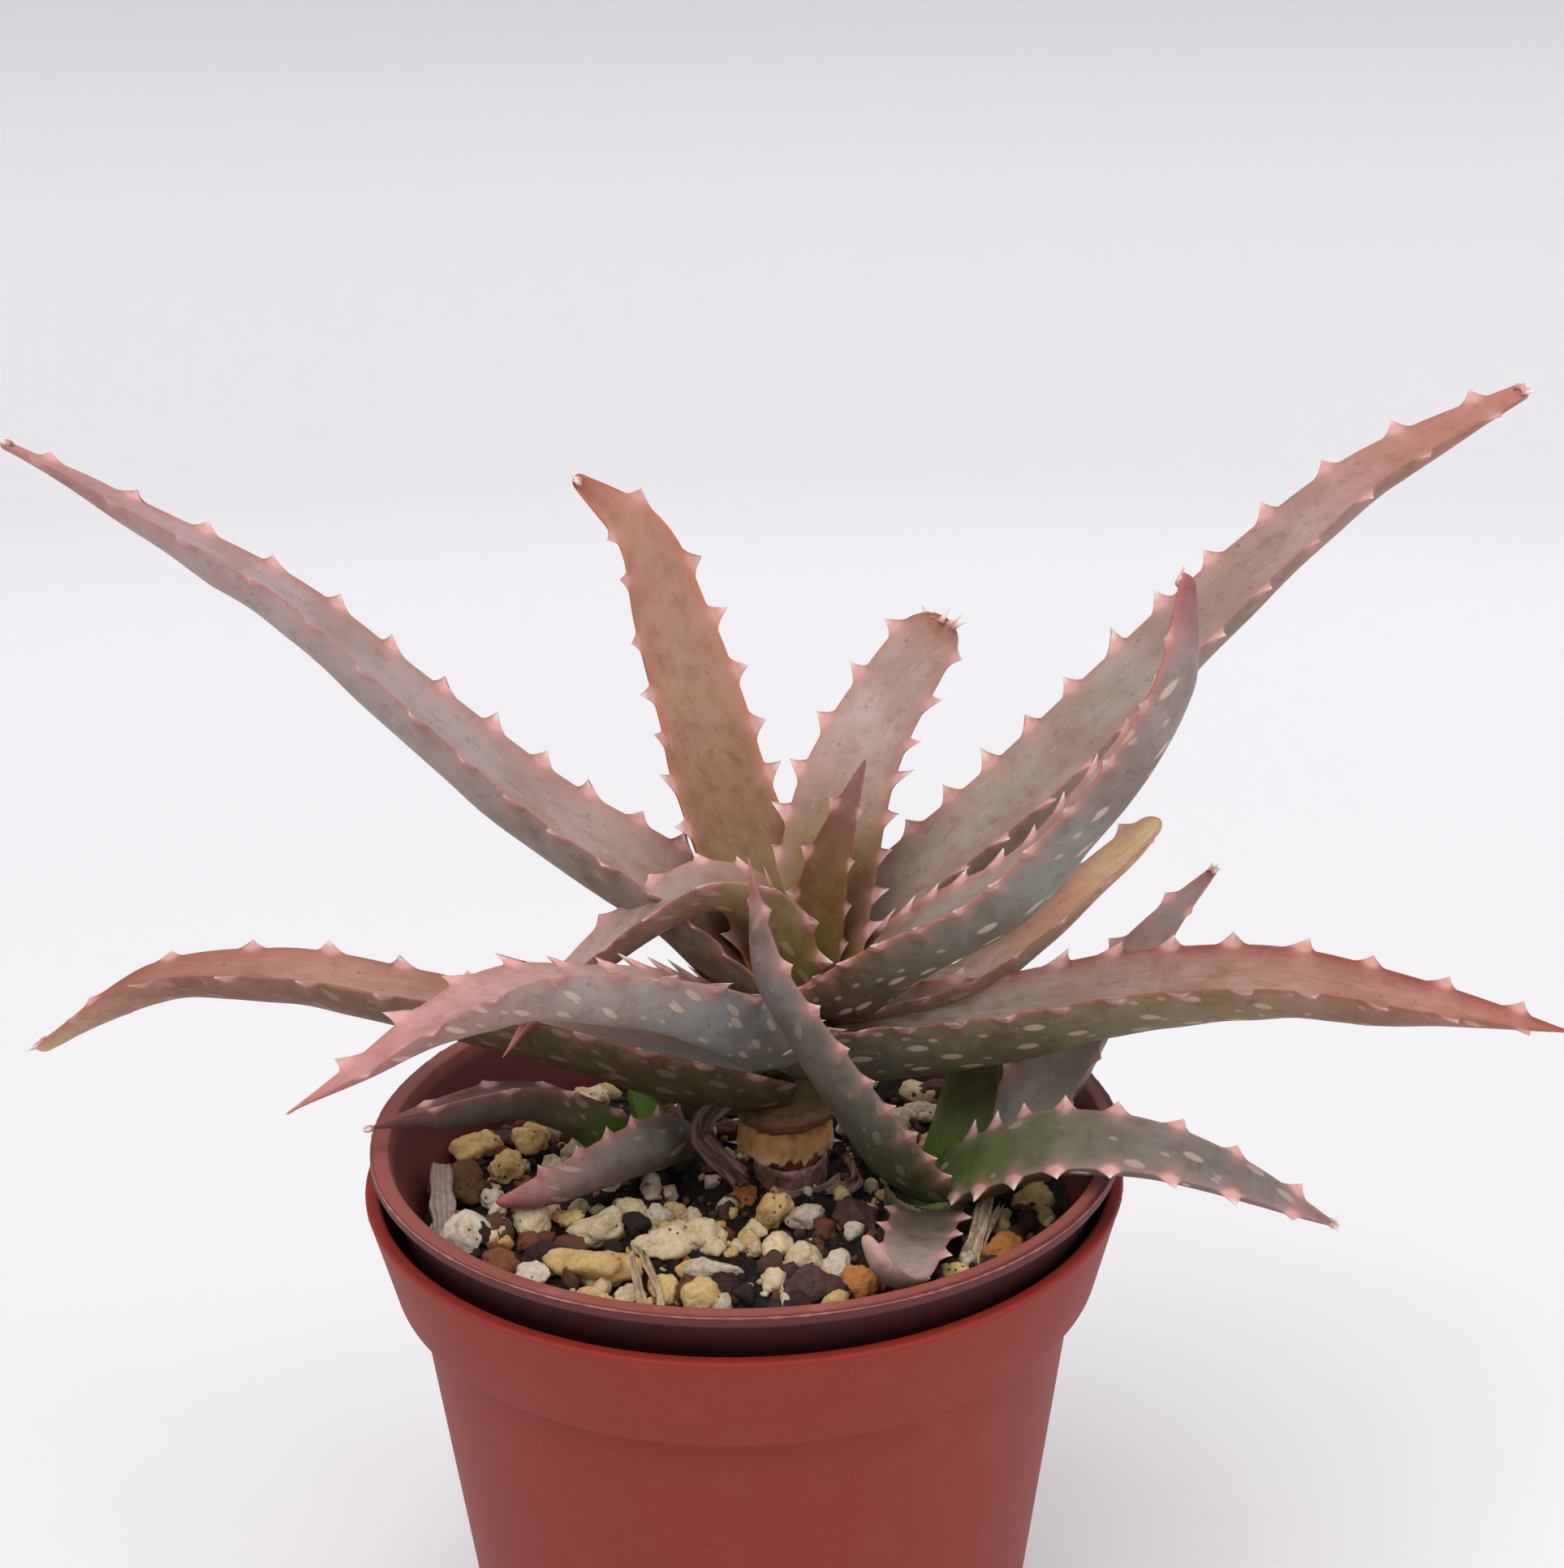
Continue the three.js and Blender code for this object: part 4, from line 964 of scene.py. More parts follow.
def plant_leaf(leaf, slot, upper, under, channel=0.2, **marks):
    """Builds one leaf. upper and under are short lists of share along the leaf and screen colour."""
    grid, values, uv = blade(leaf, channel)
    share = values.pop("t")
    above, below = blended(share, upper), blended(share, under)
    values["tint"] = above + (below - above) * values["under"][..., None]
    name = leaf[0]
    piece = closed_grid(name + "_skin", grid, values, uv)
    dress(piece, leaf_material(name + "_look", **marks), slot, name)


# %% [markdown]
# A leaf is written as its name, the seed of its teeth, width, thickness, taper, bluntness, the roll in
# degrees from base to tip, the height and pitch of its teeth, the share of its width that its neck keeps,
# and the knots of its spine. Lengths are in millimetres, and the numbers are those that shape the solid.
# The colours of the upper side and of the underside follow.
#
# The four highest leaves carry most of the picture. The upper left one shows its grey-mauve face with
# silvery scratches and small dark pits, and turns rosy towards its tip.

# %% Upper left leaf
plant_leaf(
    ("leaf_upper_left", 105, 15, 7.8, 2, 0.1, [6, 2, -2, -4], 2.9, 6.5, 1,
     [[8, 5, 98], [-6, 7, 110.5], [-22, 10, 120.5], [-37, 12, 133], [-51, 14, 145], [-67, 16, 154],
      [-84, 18, 162.5]]),
    "grey_leaf",
    # The stop at 0.12 is paler than the leaf's own colour: painted light that lifts the shade on its base.
    [(0, (120, 100, 70)), (0.12, (150, 124, 98)), (0.3, (160, 140, 132)), (0.5, (158, 142, 138)),
     (0.7, (164, 148, 147)), (0.88, (162, 132, 134)), (1, (178, 112, 112))],
    # The underside's stops are partly its own colour and partly painted light that lifts the shade below.
    [(0, (104, 92, 62)), (0.3, (150, 138, 128)), (0.6, (168, 152, 148)), (0.85, (174, 146, 144)),
     (1, (176, 120, 118))],
    channel=0.24, spots=0.15, scratches=0.7, coral=0.9, pits=0.6, band=0.3)

# %% Upper right leaf
plant_leaf(
    ("leaf_upper_right", 104, 14.2, 7.4, 2.8, 0.18, [2, -6, -8, -16], 2.8, 6.5, 1,
     [[8, 6, 99], [18, 12.5, 107.3], [33.5, 17, 118.5], [48, 21, 131], [63, 25, 144], [78.5, 28, 155.5],
      [97, 30, 164]]),
    "grey_leaf",
    [(0, (105, 92, 60)), (0.12, (146, 126, 106)), (0.3, (156, 140, 128)), (0.5, (154, 138, 128)),
     (0.7, (166, 142, 134)), (0.86, (174, 120, 106)), (1, (184, 116, 104))],
    [(0, (110, 100, 70)), (0.5, (138, 128, 116)), (0.8, (156, 122, 106)), (1, (180, 118, 104))],
    spots=0.2, scratches=0.55, coral=0.95, pits=0.6)

# %% Back leaves
plant_leaf(
    ("leaf_back_left", 103, 15.4, 4.4, 3.3, 0.12, [0, 12], 2.4, 5.5, 1,
     [[7, 5, 100], [-1, 18, 117], [-4, 23, 127], [-7.5, 26, 138], [-11, 28, 148], [-19, 27, 155.5]]),
    "brown_leaf",
    [(0, (92, 80, 38)), (0.12, (114, 90, 50)), (0.3, (140, 108, 78)), (0.5, (160, 122, 98)),
     (0.7, (168, 127, 106)), (0.88, (168, 124, 104)), (1, (146, 84, 68))],
    [(0, (100, 85, 50)), (1, (130, 100, 80))],
    spots=0.25, scratches=0.3, coral=1.0, pits=0.5, rim=(208, 118, 84))
plant_leaf(
    ("leaf_back_right", 101, 14, 4.4, 2.4, 0.62, [0, 0], 2.4, 5, 1,
     [[8, 5, 100], [12, 16, 116], [15.5, 22, 123], [20.5, 26, 130], [26, 29, 137]]),
    "grey_leaf",
    [(0, (110, 92, 44)), (0.3, (128, 102, 60)), (0.5, (166, 142, 128)), (0.7, (178, 158, 150)),
     (0.88, (170, 146, 134)), (1, (170, 118, 100))],
    [(0, (100, 90, 60)), (1, (130, 110, 95))],
    spots=0.1, scratches=0.5, coral=0.9, pits=0.5)

# %% [markdown]
# In the heart stand the youngest leaf, olive below and maroon at its tip, and a leaf that arches over to
# the left, with a yellow-green base, a paler back and a red tip.

# %% Heart and arching leaves
plant_leaf(
    ("leaf_heart", 100, 7.4, 4.4, 1.8, 0.05, [-40, -40], 1.2, 5, 1,
     [[8, 5, 99], [10, 5, 112], [12, 6, 118], [15, 8, 125]]),
    "green_leaf",
    [(0, (84, 98, 28)), (0.3, (134, 105, 58)), (0.5, (120, 92, 50)), (0.7, (112, 72, 54)),
     (0.88, (124, 84, 76)), (1, (118, 52, 52))],
    [(0, (90, 104, 30)), (0.4, (122, 104, 56)), (0.7, (110, 70, 52)), (1, (120, 54, 54))],
    channel=0.3, spots=0.3, scratches=0.2, coral=0.3, pits=0.3)
plant_leaf(
    ("leaf_arching", 102, 11, 6, 2.4, 0, [-8, 0], 2.4, 6, 1,
     [[8, 5, 100], [5, 2, 111], [-3, 0, 114.5], [-10, 0, 111.5], [-18, 0, 105], [-24, -1, 98.5],
      [-28, -3, 93]]),
    "grey_leaf",
    [(0, (116, 108, 50)), (0.2, (132, 116, 76)), (0.3, (146, 118, 104)), (0.5, (155, 137, 126)),
     (0.7, (184, 163, 156)), (0.88, (152, 112, 98)), (1, (168, 70, 70))],
    [(0, (122, 118, 50)), (0.3, (142, 124, 84)), (0.6, (150, 122, 104)), (1, (170, 80, 76))],
    spots=0.5, scratches=0.4, coral=0.9, pits=0.4)

# %% [markdown]
# The right leaf curves up and shows its blue-grey keel with round pale spots. The dying one behind it has
# lost its water: it is thin, orange beyond the middle and straw-coloured at its blunt tip.

# %% Right curved leaf and dying leaf
plant_leaf(
    ("leaf_right_curved", 106, 14, 8.2, 3, 0.2, [-2, -6, -12, -14], 2.4, 5, 1,
     [[7, 4, 99], [18.5, -5, 110], [27.5, -10, 116.5], [34, -14, 125], [40, -17, 134], [44, -19, 143],
      [45.5, -20, 153]]),
    "blue_grey_leaf",
    [(0, (110, 100, 70)), (0.3, (136, 126, 112)), (0.6, (150, 142, 134)), (0.9, (146, 118, 114)),
     (1, (146, 72, 76))],
    [(0, (90, 80, 56)), (0.12, (98, 88, 66)), (0.3, (110, 104, 86)), (0.5, (132, 131, 122)),
     (0.7, (140, 132, 126)), (0.88, (150, 134, 128)), (1, (146, 72, 78))],
    spots=1.0, scratches=0.35, coral=0.8, pits=0.4, rim=(204, 120, 104))
plant_leaf(
    ("leaf_dying", 107, 10, 4.6, 2.6, 0.35, [8, 14, 6, -6], 1.8, 6, 1,
     [[10, 5, 96], [18, 6, 96], [27, 8, 98], [35, 11, 102.5], [43, 15, 107.5], [52, 20, 113]]),
    "straw_leaf",
    # Its stops are partly the leaf's own straw colour and partly painted light, made paler to lift the shade
    # that falls on it.
    [(0, (150, 124, 102)), (0.3, (196, 174, 152)), (0.5, (186, 144, 118)), (0.7, (208, 152, 122)),
     (0.88, (242, 216, 170)), (1, (234, 212, 160))],
    [(0, (120, 100, 76)), (0.5, (150, 124, 100)), (0.7, (184, 146, 118)), (1, (214, 186, 136))],
    spots=0.5, scratches=0.5, coral=0.5, pits=0.6, streaks=0.5)

# %% [markdown]
# Three leaves lie low. The front one rolls over, so that its spotted keel shows near the stem and its
# mauve face towards the tip. The lower right one has an olive-grey underside with streaks, sooty at its
# base. The lower left one is the oldest: dark olive below, rusty above, and dried to buff at the tip.

# %% Front leaf
plant_leaf(
    ("leaf_front", 108, 14, 8.4, 1.8, 0, [0, -4, -10, -4, 4], 3.2, 5.5, 1,
     [[7, 4, 94], [-4, -10, 105], [-14, -18, 110], [-23, -24, 112.5], [-31, -30, 111], [-38, -36, 108],
      [-45, -41, 105]]),
    "blue_grey_leaf",
    [(0, (120, 106, 88)), (0.4, (158, 138, 130)), (0.6, (180, 142, 136)), (0.75, (186, 136, 132)),
     (0.9, (182, 126, 122)), (1, (178, 92, 90))],
    [(0, (112, 112, 106)), (0.12, (134, 138, 136)), (0.3, (144, 146, 144)), (0.5, (162, 150, 142)),
     (0.8, (164, 128, 122)), (1, (176, 94, 92))],
    spots=0.95, scratches=0.45, coral=0.8, pits=0.4)

# %% Lower leaves
plant_leaf(
    ("leaf_lower_right", 109, 15, 9.6, 2.4, 0, [2, 4, -2, -12, -26], 2.6, 6, 1,
     [[7, 4, 93], [12, 0, 97], [29, -2, 99], [45, -4, 102.5], [62, -6, 103.5], [78, -8, 100.5],
      [95, -9, 96]]),
    "brown_leaf",
    [(0, (130, 112, 84)), (0.12, (164, 148, 128)), (0.3, (182, 164, 150)), (0.5, (166, 132, 115)),
     (0.7, (172, 130, 115)), (0.88, (168, 116, 100)), (1, (170, 112, 100))],
    [(0, (84, 82, 64)), (0.12, (102, 102, 84)), (0.3, (101, 101, 66)), (0.5, (130, 116, 82)),
     (0.75, (148, 108, 88)), (1, (168, 116, 102))],
    channel=0.3, spots=0.7, scratches=0.4, coral=0.7, pits=0.5, streaks=0.4, band=0.5, rim=(148, 64, 50))
plant_leaf(
    ("leaf_lower_left", 110, 14, 7.4, 3.2, 0.2, [-12, -12, -4, -4], 2.8, 7.5, 1,
     [[6, 5, 87], [-9, 5, 91], [-24, 6, 95], [-40, 7, 98.5], [-55, 8, 101], [-72, 9, 99.5],
      [-86, 10, 90]]),
    "brown_leaf",
    # The stop at 0.5 is a painted highlight: a pale sheen halfway along the upper face.
    [(0, (80, 70, 45)), (0.12, (94, 80, 52)), (0.3, (130, 98, 76)), (0.5, (186, 142, 124)),
     (0.7, (172, 120, 100)), (0.86, (160, 104, 84)), (0.95, (176, 128, 100)), (1, (226, 204, 168))],
    [(0, (72, 64, 34)), (0.12, (74, 66, 36)), (0.3, (84, 74, 44)), (0.5, (112, 84, 60)),
     (0.75, (140, 98, 78)), (0.9, (188, 148, 128)), (1, (216, 192, 156))],
    spots=0.25, scratches=0.5, coral=0.6, pits=0.8, streaks=0.35, band=0.45, rim=(146, 84, 68))

# %% [markdown]
# The right offset is a young rosette of its own. Its heart leaf is bright green, its low leaf folds
# upwards at the front, and the others are slender and grey.

# %% Right offset's leaves
plant_leaf(
    ("right_offset_heart", 200, 7.2, 3.6, 5, 0.1, [0, 0], 0, 5, 1,
     [[23, -2, 74], [26, 0, 82], [28.5, 6, 89], [29.5, 10, 94]]),
    "green_leaf",
    [(0, (76, 128, 22)), (0.25, (88, 112, 32)), (0.45, (84, 86, 40)), (0.7, (90, 84, 50)),
     (1, (104, 88, 58))],
    [(0, (76, 128, 22)), (0.25, (84, 106, 30)), (0.45, (78, 80, 38)), (0.7, (84, 78, 46)),
     (1, (100, 84, 56))], spots=0.2, coral=0.1, rim=(110, 104, 50))
plant_leaf(
    ("right_offset_front", 201, 10.5, 4.6, 2, 0, [0, 0], 1.6, 5, 1,
     [[22, -4, 76], [15, -10, 88], [8, -15.5, 101], [3, -19.5, 112], [1, -22, 124]]),
    "blue_grey_leaf",
    [(0, (60, 82, 30)), (0.3, (88, 92, 72)), (0.6, (118, 112, 98)), (0.88, (130, 110, 102)),
     (1, (190, 90, 92))],
    [(0, (58, 80, 28)), (0.15, (70, 86, 48)), (0.3, (90, 94, 76)), (0.5, (108, 106, 94)),
     (0.7, (108, 104, 98)), (0.88, (124, 104, 96)), (1, (190, 90, 92))],
    spots=0.3, scratches=0.25, coral=1.0, pits=0.6, band=0, rim=(168, 124, 116))
plant_leaf(
    ("right_offset_right", 202, 8.6, 5.6, 3, 0.05, [-26, -30, -26, -20], 1.8, 5.5, 0.85,
     [[23, -4, 77], [28.5, -11, 83], [35, -16, 87.5], [44.5, -19, 88], [55, -20.5, 84.6],
      [66, -21, 78.5]]),
    "dusky_leaf",
    [(0, (64, 96, 22)), (0.12, (78, 102, 32)), (0.3, (94, 98, 64)), (0.5, (98, 92, 78)),
     (0.7, (106, 102, 94)), (0.88, (104, 100, 98)), (1, (140, 100, 102))],
    [(0, (70, 96, 26)), (0.3, (92, 96, 64)), (0.6, (104, 100, 90)), (1, (130, 100, 98))],
    channel=-0.1, spots=2.4, scratches=0.2, coral=0.6, pits=0.4, rim=(160, 124, 118))
plant_leaf(
    ("right_offset_back", 203, 11.4, 4.4, 2.2, 0.1, [0, 0], 1.8, 6, 1,
     [[24, -2, 75], [36, 4, 85], [43, 9, 93], [51.5, 14, 101], [59, 17, 107.5]]),
    "blue_grey_leaf",
    # The stop at 0.3 is painted light: far paler than the leaf, it lifts the shade that the lower right leaf
    # casts there.
    [(0, (64, 74, 30)), (0.3, (188, 186, 174)), (0.5, (122, 116, 96)), (0.7, (150, 130, 116)),
     (0.88, (134, 124, 121)), (1, (150, 104, 98))],
    [(0, (60, 66, 30)), (0.5, (110, 106, 92)), (1, (150, 110, 104))],
    spots=0.4, scratches=0.4, coral=0.6, pits=0.9)
plant_leaf(
    ("right_offset_low", 204, 8, 2.6, 2.5, 0.15, [0, 0], 1.3, 6, 1,
     [[22, -6, 75], [19, -19, 77], [17, -28, 78], [14.5, -31.5, 81], [12.5, -31, 84.5]]),
    "grey_leaf",
    [(0, (50, 44, 22)), (0.3, (112, 102, 90)), (0.5, (154, 144, 138)), (0.8, (176, 160, 154)),
     (1, (220, 192, 184))],
    [(0, (50, 44, 22)), (0.4, (126, 116, 106)), (0.7, (162, 150, 144)), (1, (220, 192, 184))],
    spots=0.4, scratches=0.5, coral=0.7, pits=0.4)

# %% [markdown]
# The left offset stands in the shade of the large leaves. Its two outer leaves are dusky mauve with pink
# teeth, and between them show a bright green tip and a small brown one.

# %% Left offset's leaves
plant_leaf(
    ("left_offset_heart", 300, 7, 3, 2.6, 0.1, [0, 0], 0, 5, 1,
     [[-9, 12, 72], [-12, 13, 78], [-14, 15, 82]]),
    "green_leaf",
    [(0, (70, 120, 14)), (0.5, (116, 180, 36)), (1, (120, 170, 44))],
    [(0, (70, 120, 14)), (0.5, (108, 172, 30)), (1, (120, 170, 44))], spots=0.1, coral=0, rim=(90, 108, 30))
plant_leaf(
    ("left_offset_back", 301, 5, 2.2, 2, 0.1, [0, 0], 0, 5, 1, [[-8, 13, 72], [-7, 14, 77], [-6, 16, 82]]),
    "grey_leaf",
    [(0, (60, 50, 30)), (1, (96, 82, 56))], [(0, (60, 50, 30)), (1, (90, 76, 52))], spots=0.2, coral=0)
plant_leaf(
    ("left_offset_left", 302, 7.5, 6.4, 2.8, 0, [-14, -14], 1.2, 7, 0.6,
     [[-10, 11, 73], [-15, 9, 79], [-22, 6, 84.5], [-29, 2, 87], [-37, -3, 87], [-44, -7, 86]]),
    "dusky_leaf",
    # The first two stops on both faces are partly the leaf's own bright green and partly painted light,
    # raised to lift the shade it stands in.
    [(0, (92, 156, 28)), (0.2, (100, 148, 38)), (0.33, (100, 102, 60)), (0.5, (96, 86, 72)),
     (0.8, (98, 80, 74)), (1, (114, 74, 72))],
    [(0, (92, 156, 28)), (0.2, (98, 144, 36)), (0.33, (96, 98, 58)), (0.5, (94, 84, 70)),
     (0.8, (94, 78, 72)), (1, (114, 74, 72))],
    spots=0.5, scratches=0.1, coral=0.3, pits=0.3, rim=(140, 80, 76))
plant_leaf(
    ("left_offset_front", 303, 7.4, 5.4, 3.4, 0.15, [-74, -60], 1.8, 3.4, 0.7,
     [[-8, 10, 75], [-11, 5, 78.5], [-16, 0, 79], [-22, -5, 78.5], [-29, -9, 77.5]]),
    "dusky_leaf",
    [(0, (66, 62, 40)), (0.3, (106, 98, 88)), (0.5, (128, 114, 104)), (0.7, (140, 112, 104)),
     (0.88, (152, 102, 98)), (1, (194, 100, 104))],
    [(0, (70, 68, 44)), (0.3, (108, 104, 92)), (0.5, (128, 120, 112)), (0.75, (140, 116, 108)),
     (0.9, (156, 106, 102)), (1, (194, 100, 104))],
    spots=0.6, scratches=0.2, coral=0.6, pits=0.3, rim=(190, 110, 108))

# %% [markdown]
# Dry things show between the leaves: the stems with their papery leaf bases, straws and a withered leaf.
# All are fibrous. One node group gives them fine lines, from a noise that is stretched along Z, and every
# piece stores its own colours on its points. So three materials serve them all, which differ only in how
# strong the lines are and in how much light passes through.

# %% Dry fibre
fibrous, given, made = group(
    "dry_fibre", {"Place": "vector", "Tint": "color", "Lines": "value"},
    {"Color": "color", "Roughness": "value", "Normal": "vector"})
lines = noise(fibrous, stretch(fibrous, given["Place"], (2300.0, 2300.0, 240.0)), 1.0, 3.0)
patchy = noise(fibrous, given["Place"], 480.0, 4.0, 0.6)
dark_line = times(fibrous, step(fibrous, lines, 0.44, 0.66), given["Lines"])
pale_patch = times(fibrous, step(fibrous, patchy, 0.5, 0.75), 0.35)
dark_patch = times(fibrous, step(fibrous, patchy, 0.48, 0.3), 0.5)
dried = tint(fibrous, "MULTIPLY", dark_line, given["Tint"], rgba((158, 128, 108)))
dried = tint(fibrous, "SCREEN", pale_patch, dried, rgba((66, 56, 50)))
dried = tint(fibrous, "MULTIPLY", dark_patch, dried, rgba((150, 124, 104)))
fibrous.links.new(dried, made["Color"])
fibrous.links.new(calc(fibrous, "MULTIPLY_ADD", patchy, 0.25, 0.55), made["Roughness"])
raised = calc(fibrous, "MULTIPLY_ADD", lines, 0.7, times(fibrous, patchy, 0.5))
fibrous.links.new(bumped(fibrous, 0.5, 0.0005, raised), made["Normal"])


def dry_material(name, amount, through=0.0):
    """The shared fibre on the piece's stored colours. through is the share of light let into a thin sheet."""
    made, tree, shader = material(name)
    sockets = {"Place": object_place(tree), "Tint": stored(tree, "tint", "Color"), "Lines": amount}
    skin = add(tree, "ShaderNodeGroup", sockets, node_tree=fibrous)
    join_skin(tree, shader, skin)
    shader.inputs["Subsurface Weight"].default_value = through
    shader.inputs["Subsurface Scale"].default_value = 0.001
    return made


stem_look = dry_material("stem_look", 0.16, 0.1)
paper_look = dry_material("papery_base_look", 0.12, 0.25)
straw_look = dry_material("straw_look", 0.4)
print("dry fibre nodes", len(fibrous.nodes))

# %% [markdown]
# A stem is a stack of rings. Each ring has its own middle, height and radius, and numpy fills in the rings
# between the given ones. Slow noise keeps it from looking turned. Its colours go by height.


# %% Stems
BARK_STEP, BARK_SIDES = 0.3, 72


def grown_stem(name, rings, stops, seed):
    """Rings of x, y, z and radius in millimetres, evened out along Z. Noise of two wavelengths changes the
    radius by a few hundredths of itself. The colours go by height, shifted a little by noise."""
    given_rings = np.array(rings, float)
    height = np.arange(given_rings[0, 2], given_rings[-1, 2], BARK_STEP)
    x, y, radius = (np.interp(height, given_rings[:, 2], given_rings[:, k])[:, None] for k in (0, 1, 3))
    around = circle_angles(BARK_SIDES)
    level = np.repeat(height[:, None], BARK_SIDES, axis=1)
    place = np.stack([x + radius * np.cos(around), y + radius * np.sin(around), level], axis=-1)
    radius = radius * (1 + 0.025 * ripple(place, 5.0, seed) + 0.012 * ripple(place, 1.6, seed + 1))
    place[..., 0], place[..., 1] = x + radius * np.cos(around), y + radius * np.sin(around)
    uneven = level + 0.35 * ripple(place, 3.0, seed + 2)
    piece = closed_grid(name + "_bark", place * MM, {"tint": blended(uneven, stops)})
    dress(piece, stem_look, "stem", name)


grown_stem(
    "main_stem",
    [(5.6, 6, 61, 4), (5.6, 6, 75.4, 4), (5.5, 6, 76.2, 3.9), (5.2, 6, 77.5, 4.7), (5, 6, 80, 5.3),
     (5.2, 6, 80.8, 5.2), (5.3, 6, 81.6, 5.6), (5.5, 6, 83.2, 5.4), (6, 5.5, 86, 5), (7.5, 5, 94, 4.2),
     (8, 5, 98, 3.2)],
    [(70, (96, 66, 62)), (74.8, (110, 76, 72)), (75.4, (140, 82, 48)), (77.2, (156, 98, 54)),
     (80, (128, 88, 50)), (81.2, (100, 66, 38)), (83.4, (112, 80, 44)), (85, (92, 80, 38)),
     (98, (112, 112, 60))], 31)
grown_stem(
    "right_offset_stem", [(22, -4, 61, 3.9), (22, -4, 70, 4.4), (22, -4, 74, 4.6), (23, -4, 76.5, 3.3)],
    [(61, (60, 50, 34)), (71, (64, 60, 34)), (74, (72, 78, 34)), (77, (70, 84, 30))], 34)
grown_stem(
    "left_offset_stem", [(-9, 11, 61, 2.9), (-9, 11, 70, 3.1), (-9, 11, 73, 3.3), (-9, 11, 75, 2.3)],
    [(61, (60, 50, 34)), (71, (70, 62, 40)), (75, (66, 80, 26))], 37)

# %% [markdown]
# Round the main stem sit the thin bases of leaves that have gone: a smooth pinkish one with a pale curved
# edge, a papery tan one whose lower edge is torn, and a brown one that clasps the stem above them. Two
# green ones clasp the right offset's stem. Each is a thin band. Its edges rise and fall round the stem, so
# it is worked out from two edge heights at each angle, up the outside and down the inside.


# %% Leaf bases round the stems
BAND_COLS, BAND_ROWS, EDGE_THICKNESS, BAND_SPAN = 240, 14, 0.3, 5
band_angle = circle_angles(BAND_COLS)
band_ring = np.stack([np.cos(band_angle), np.sin(band_angle), np.zeros(BAND_COLS)], axis=-1)


def torn_edge(level, slope, facing, rough, seed):
    """Heights round a band: a level, a tilt that is highest towards one angle, and tears of fine noise."""
    tilt = slope * np.cos(band_angle - math.radians(facing))
    tears = 0.6 * ripple(band_ring, 0.5, seed) + 0.5 * ripple(band_ring, 0.12, seed + 1)
    return level + tilt + rough * tears


def leaf_base(name, middle, low, high, reach, thickness, stops, seed, look):
    """A band from the low heights to the high ones. reach is its radius at the lower edge, halfway and at
    the upper edge, and half the thickness is added outside and taken away inside, less at both edges."""
    outwards = np.linspace(0, 1, BAND_ROWS)
    share = np.concatenate([outwards, outwards[::-1]])[:, None]
    side = np.repeat([1.0, -1.0], BAND_ROWS)[:, None] * np.where(share % 1 == 0, EDGE_THICKNESS, 1.0)
    height = low + (high - low) * share
    radius = np.interp(share, [0, 0.5, 1], reach) + thickness / 2 * side
    wall = band_ring * BAND_SPAN + np.dstack([0 * height, 0 * height, height])
    radius = radius + 0.1 * ripple(wall, 2.0, seed) + 0.05 * ripple(wall, 0.7, seed + 1)
    grid = np.dstack([middle[0] + radius * band_ring[:, 0], middle[1] + radius * band_ring[:, 1], height])
    uneven = share + 0.12 * ripple(wall, 1.5, seed + 2)
    dress(looped_grid(name, grid * MM, {"tint": blended(uneven, stops)}), look, "stem")


leaf_base(
    "pink_base", (5.6, 6), torn_edge(70.5, 0, 0, 0.1, 41), torn_edge(75.9, 0.9, 80, 0.12, 42),
    [4.15, 4.25, 4.4], 0.3,
    [(0, (116, 82, 76)), (0.6, (158, 112, 106)), (0.93, (174, 128, 120)), (1, (208, 176, 162))],
    43, stem_look)
leaf_base(
    "papery_base", (5, 6), torn_edge(77, 0.5, 60, 0.7, 44), torn_edge(81.1, 0.3, 90, 0.15, 46),
    [5.8, 5.7, 5.3], 0.3,
    [(0, (220, 188, 140)), (0.25, (204, 160, 104)), (0.7, (194, 142, 84)), (1, (140, 98, 58))],
    47, paper_look)
leaf_base(
    "clasping_base", (5.4, 6), torn_edge(80.6, 0.5, 20, 0.2, 48), torn_edge(83.4, 0.6, 20, 0.15, 50),
    [5.5, 5.9, 5.2], 0.5,
    [(0, (92, 60, 36)), (0.3, (122, 86, 52)), (0.8, (116, 84, 48)), (1, (88, 70, 36))],
    51, stem_look)
leaf_base(
    "right_outer_base", (22, -4.3), torn_edge(70.5, 0, 0, 0.1, 52), torn_edge(74.6, 1.6, 185, 0.15, 53),
    [4.9, 5.3, 5.2], 0.5,
    [(0, (64, 58, 36)), (0.6, (88, 88, 56)), (0.94, (96, 96, 62)), (1, (128, 110, 88))],
    54, stem_look)
leaf_base(
    "right_inner_base", (22.4, -4), torn_edge(71, 0, 0, 0.1, 55), torn_edge(76.2, 1.2, 20, 0.15, 56),
    [4.7, 4.9, 4.5], 0.5, [(0, (62, 58, 32)), (0.6, (84, 92, 44)), (1, (104, 112, 60))],
    57, stem_look)

# %% [markdown]
# The papery base keeps a few pale teeth. Each is a thorn: rings that shrink to a point along a slightly
# bent line, in two shades, the paler one towards the point.


# %% Thorns
THORN_SHARPNESS = 0.97


def two_shades(dull, pale, rows, rings, shape):
    """Colours for a grid of the given shape and number of rings: dull on its first rows, pale beyond."""
    shades = linear((dull, pale))[np.repeat([0, 1], [rows, rings - rows])]
    return {"tint": np.broadcast_to(shades[:, None], shape)}


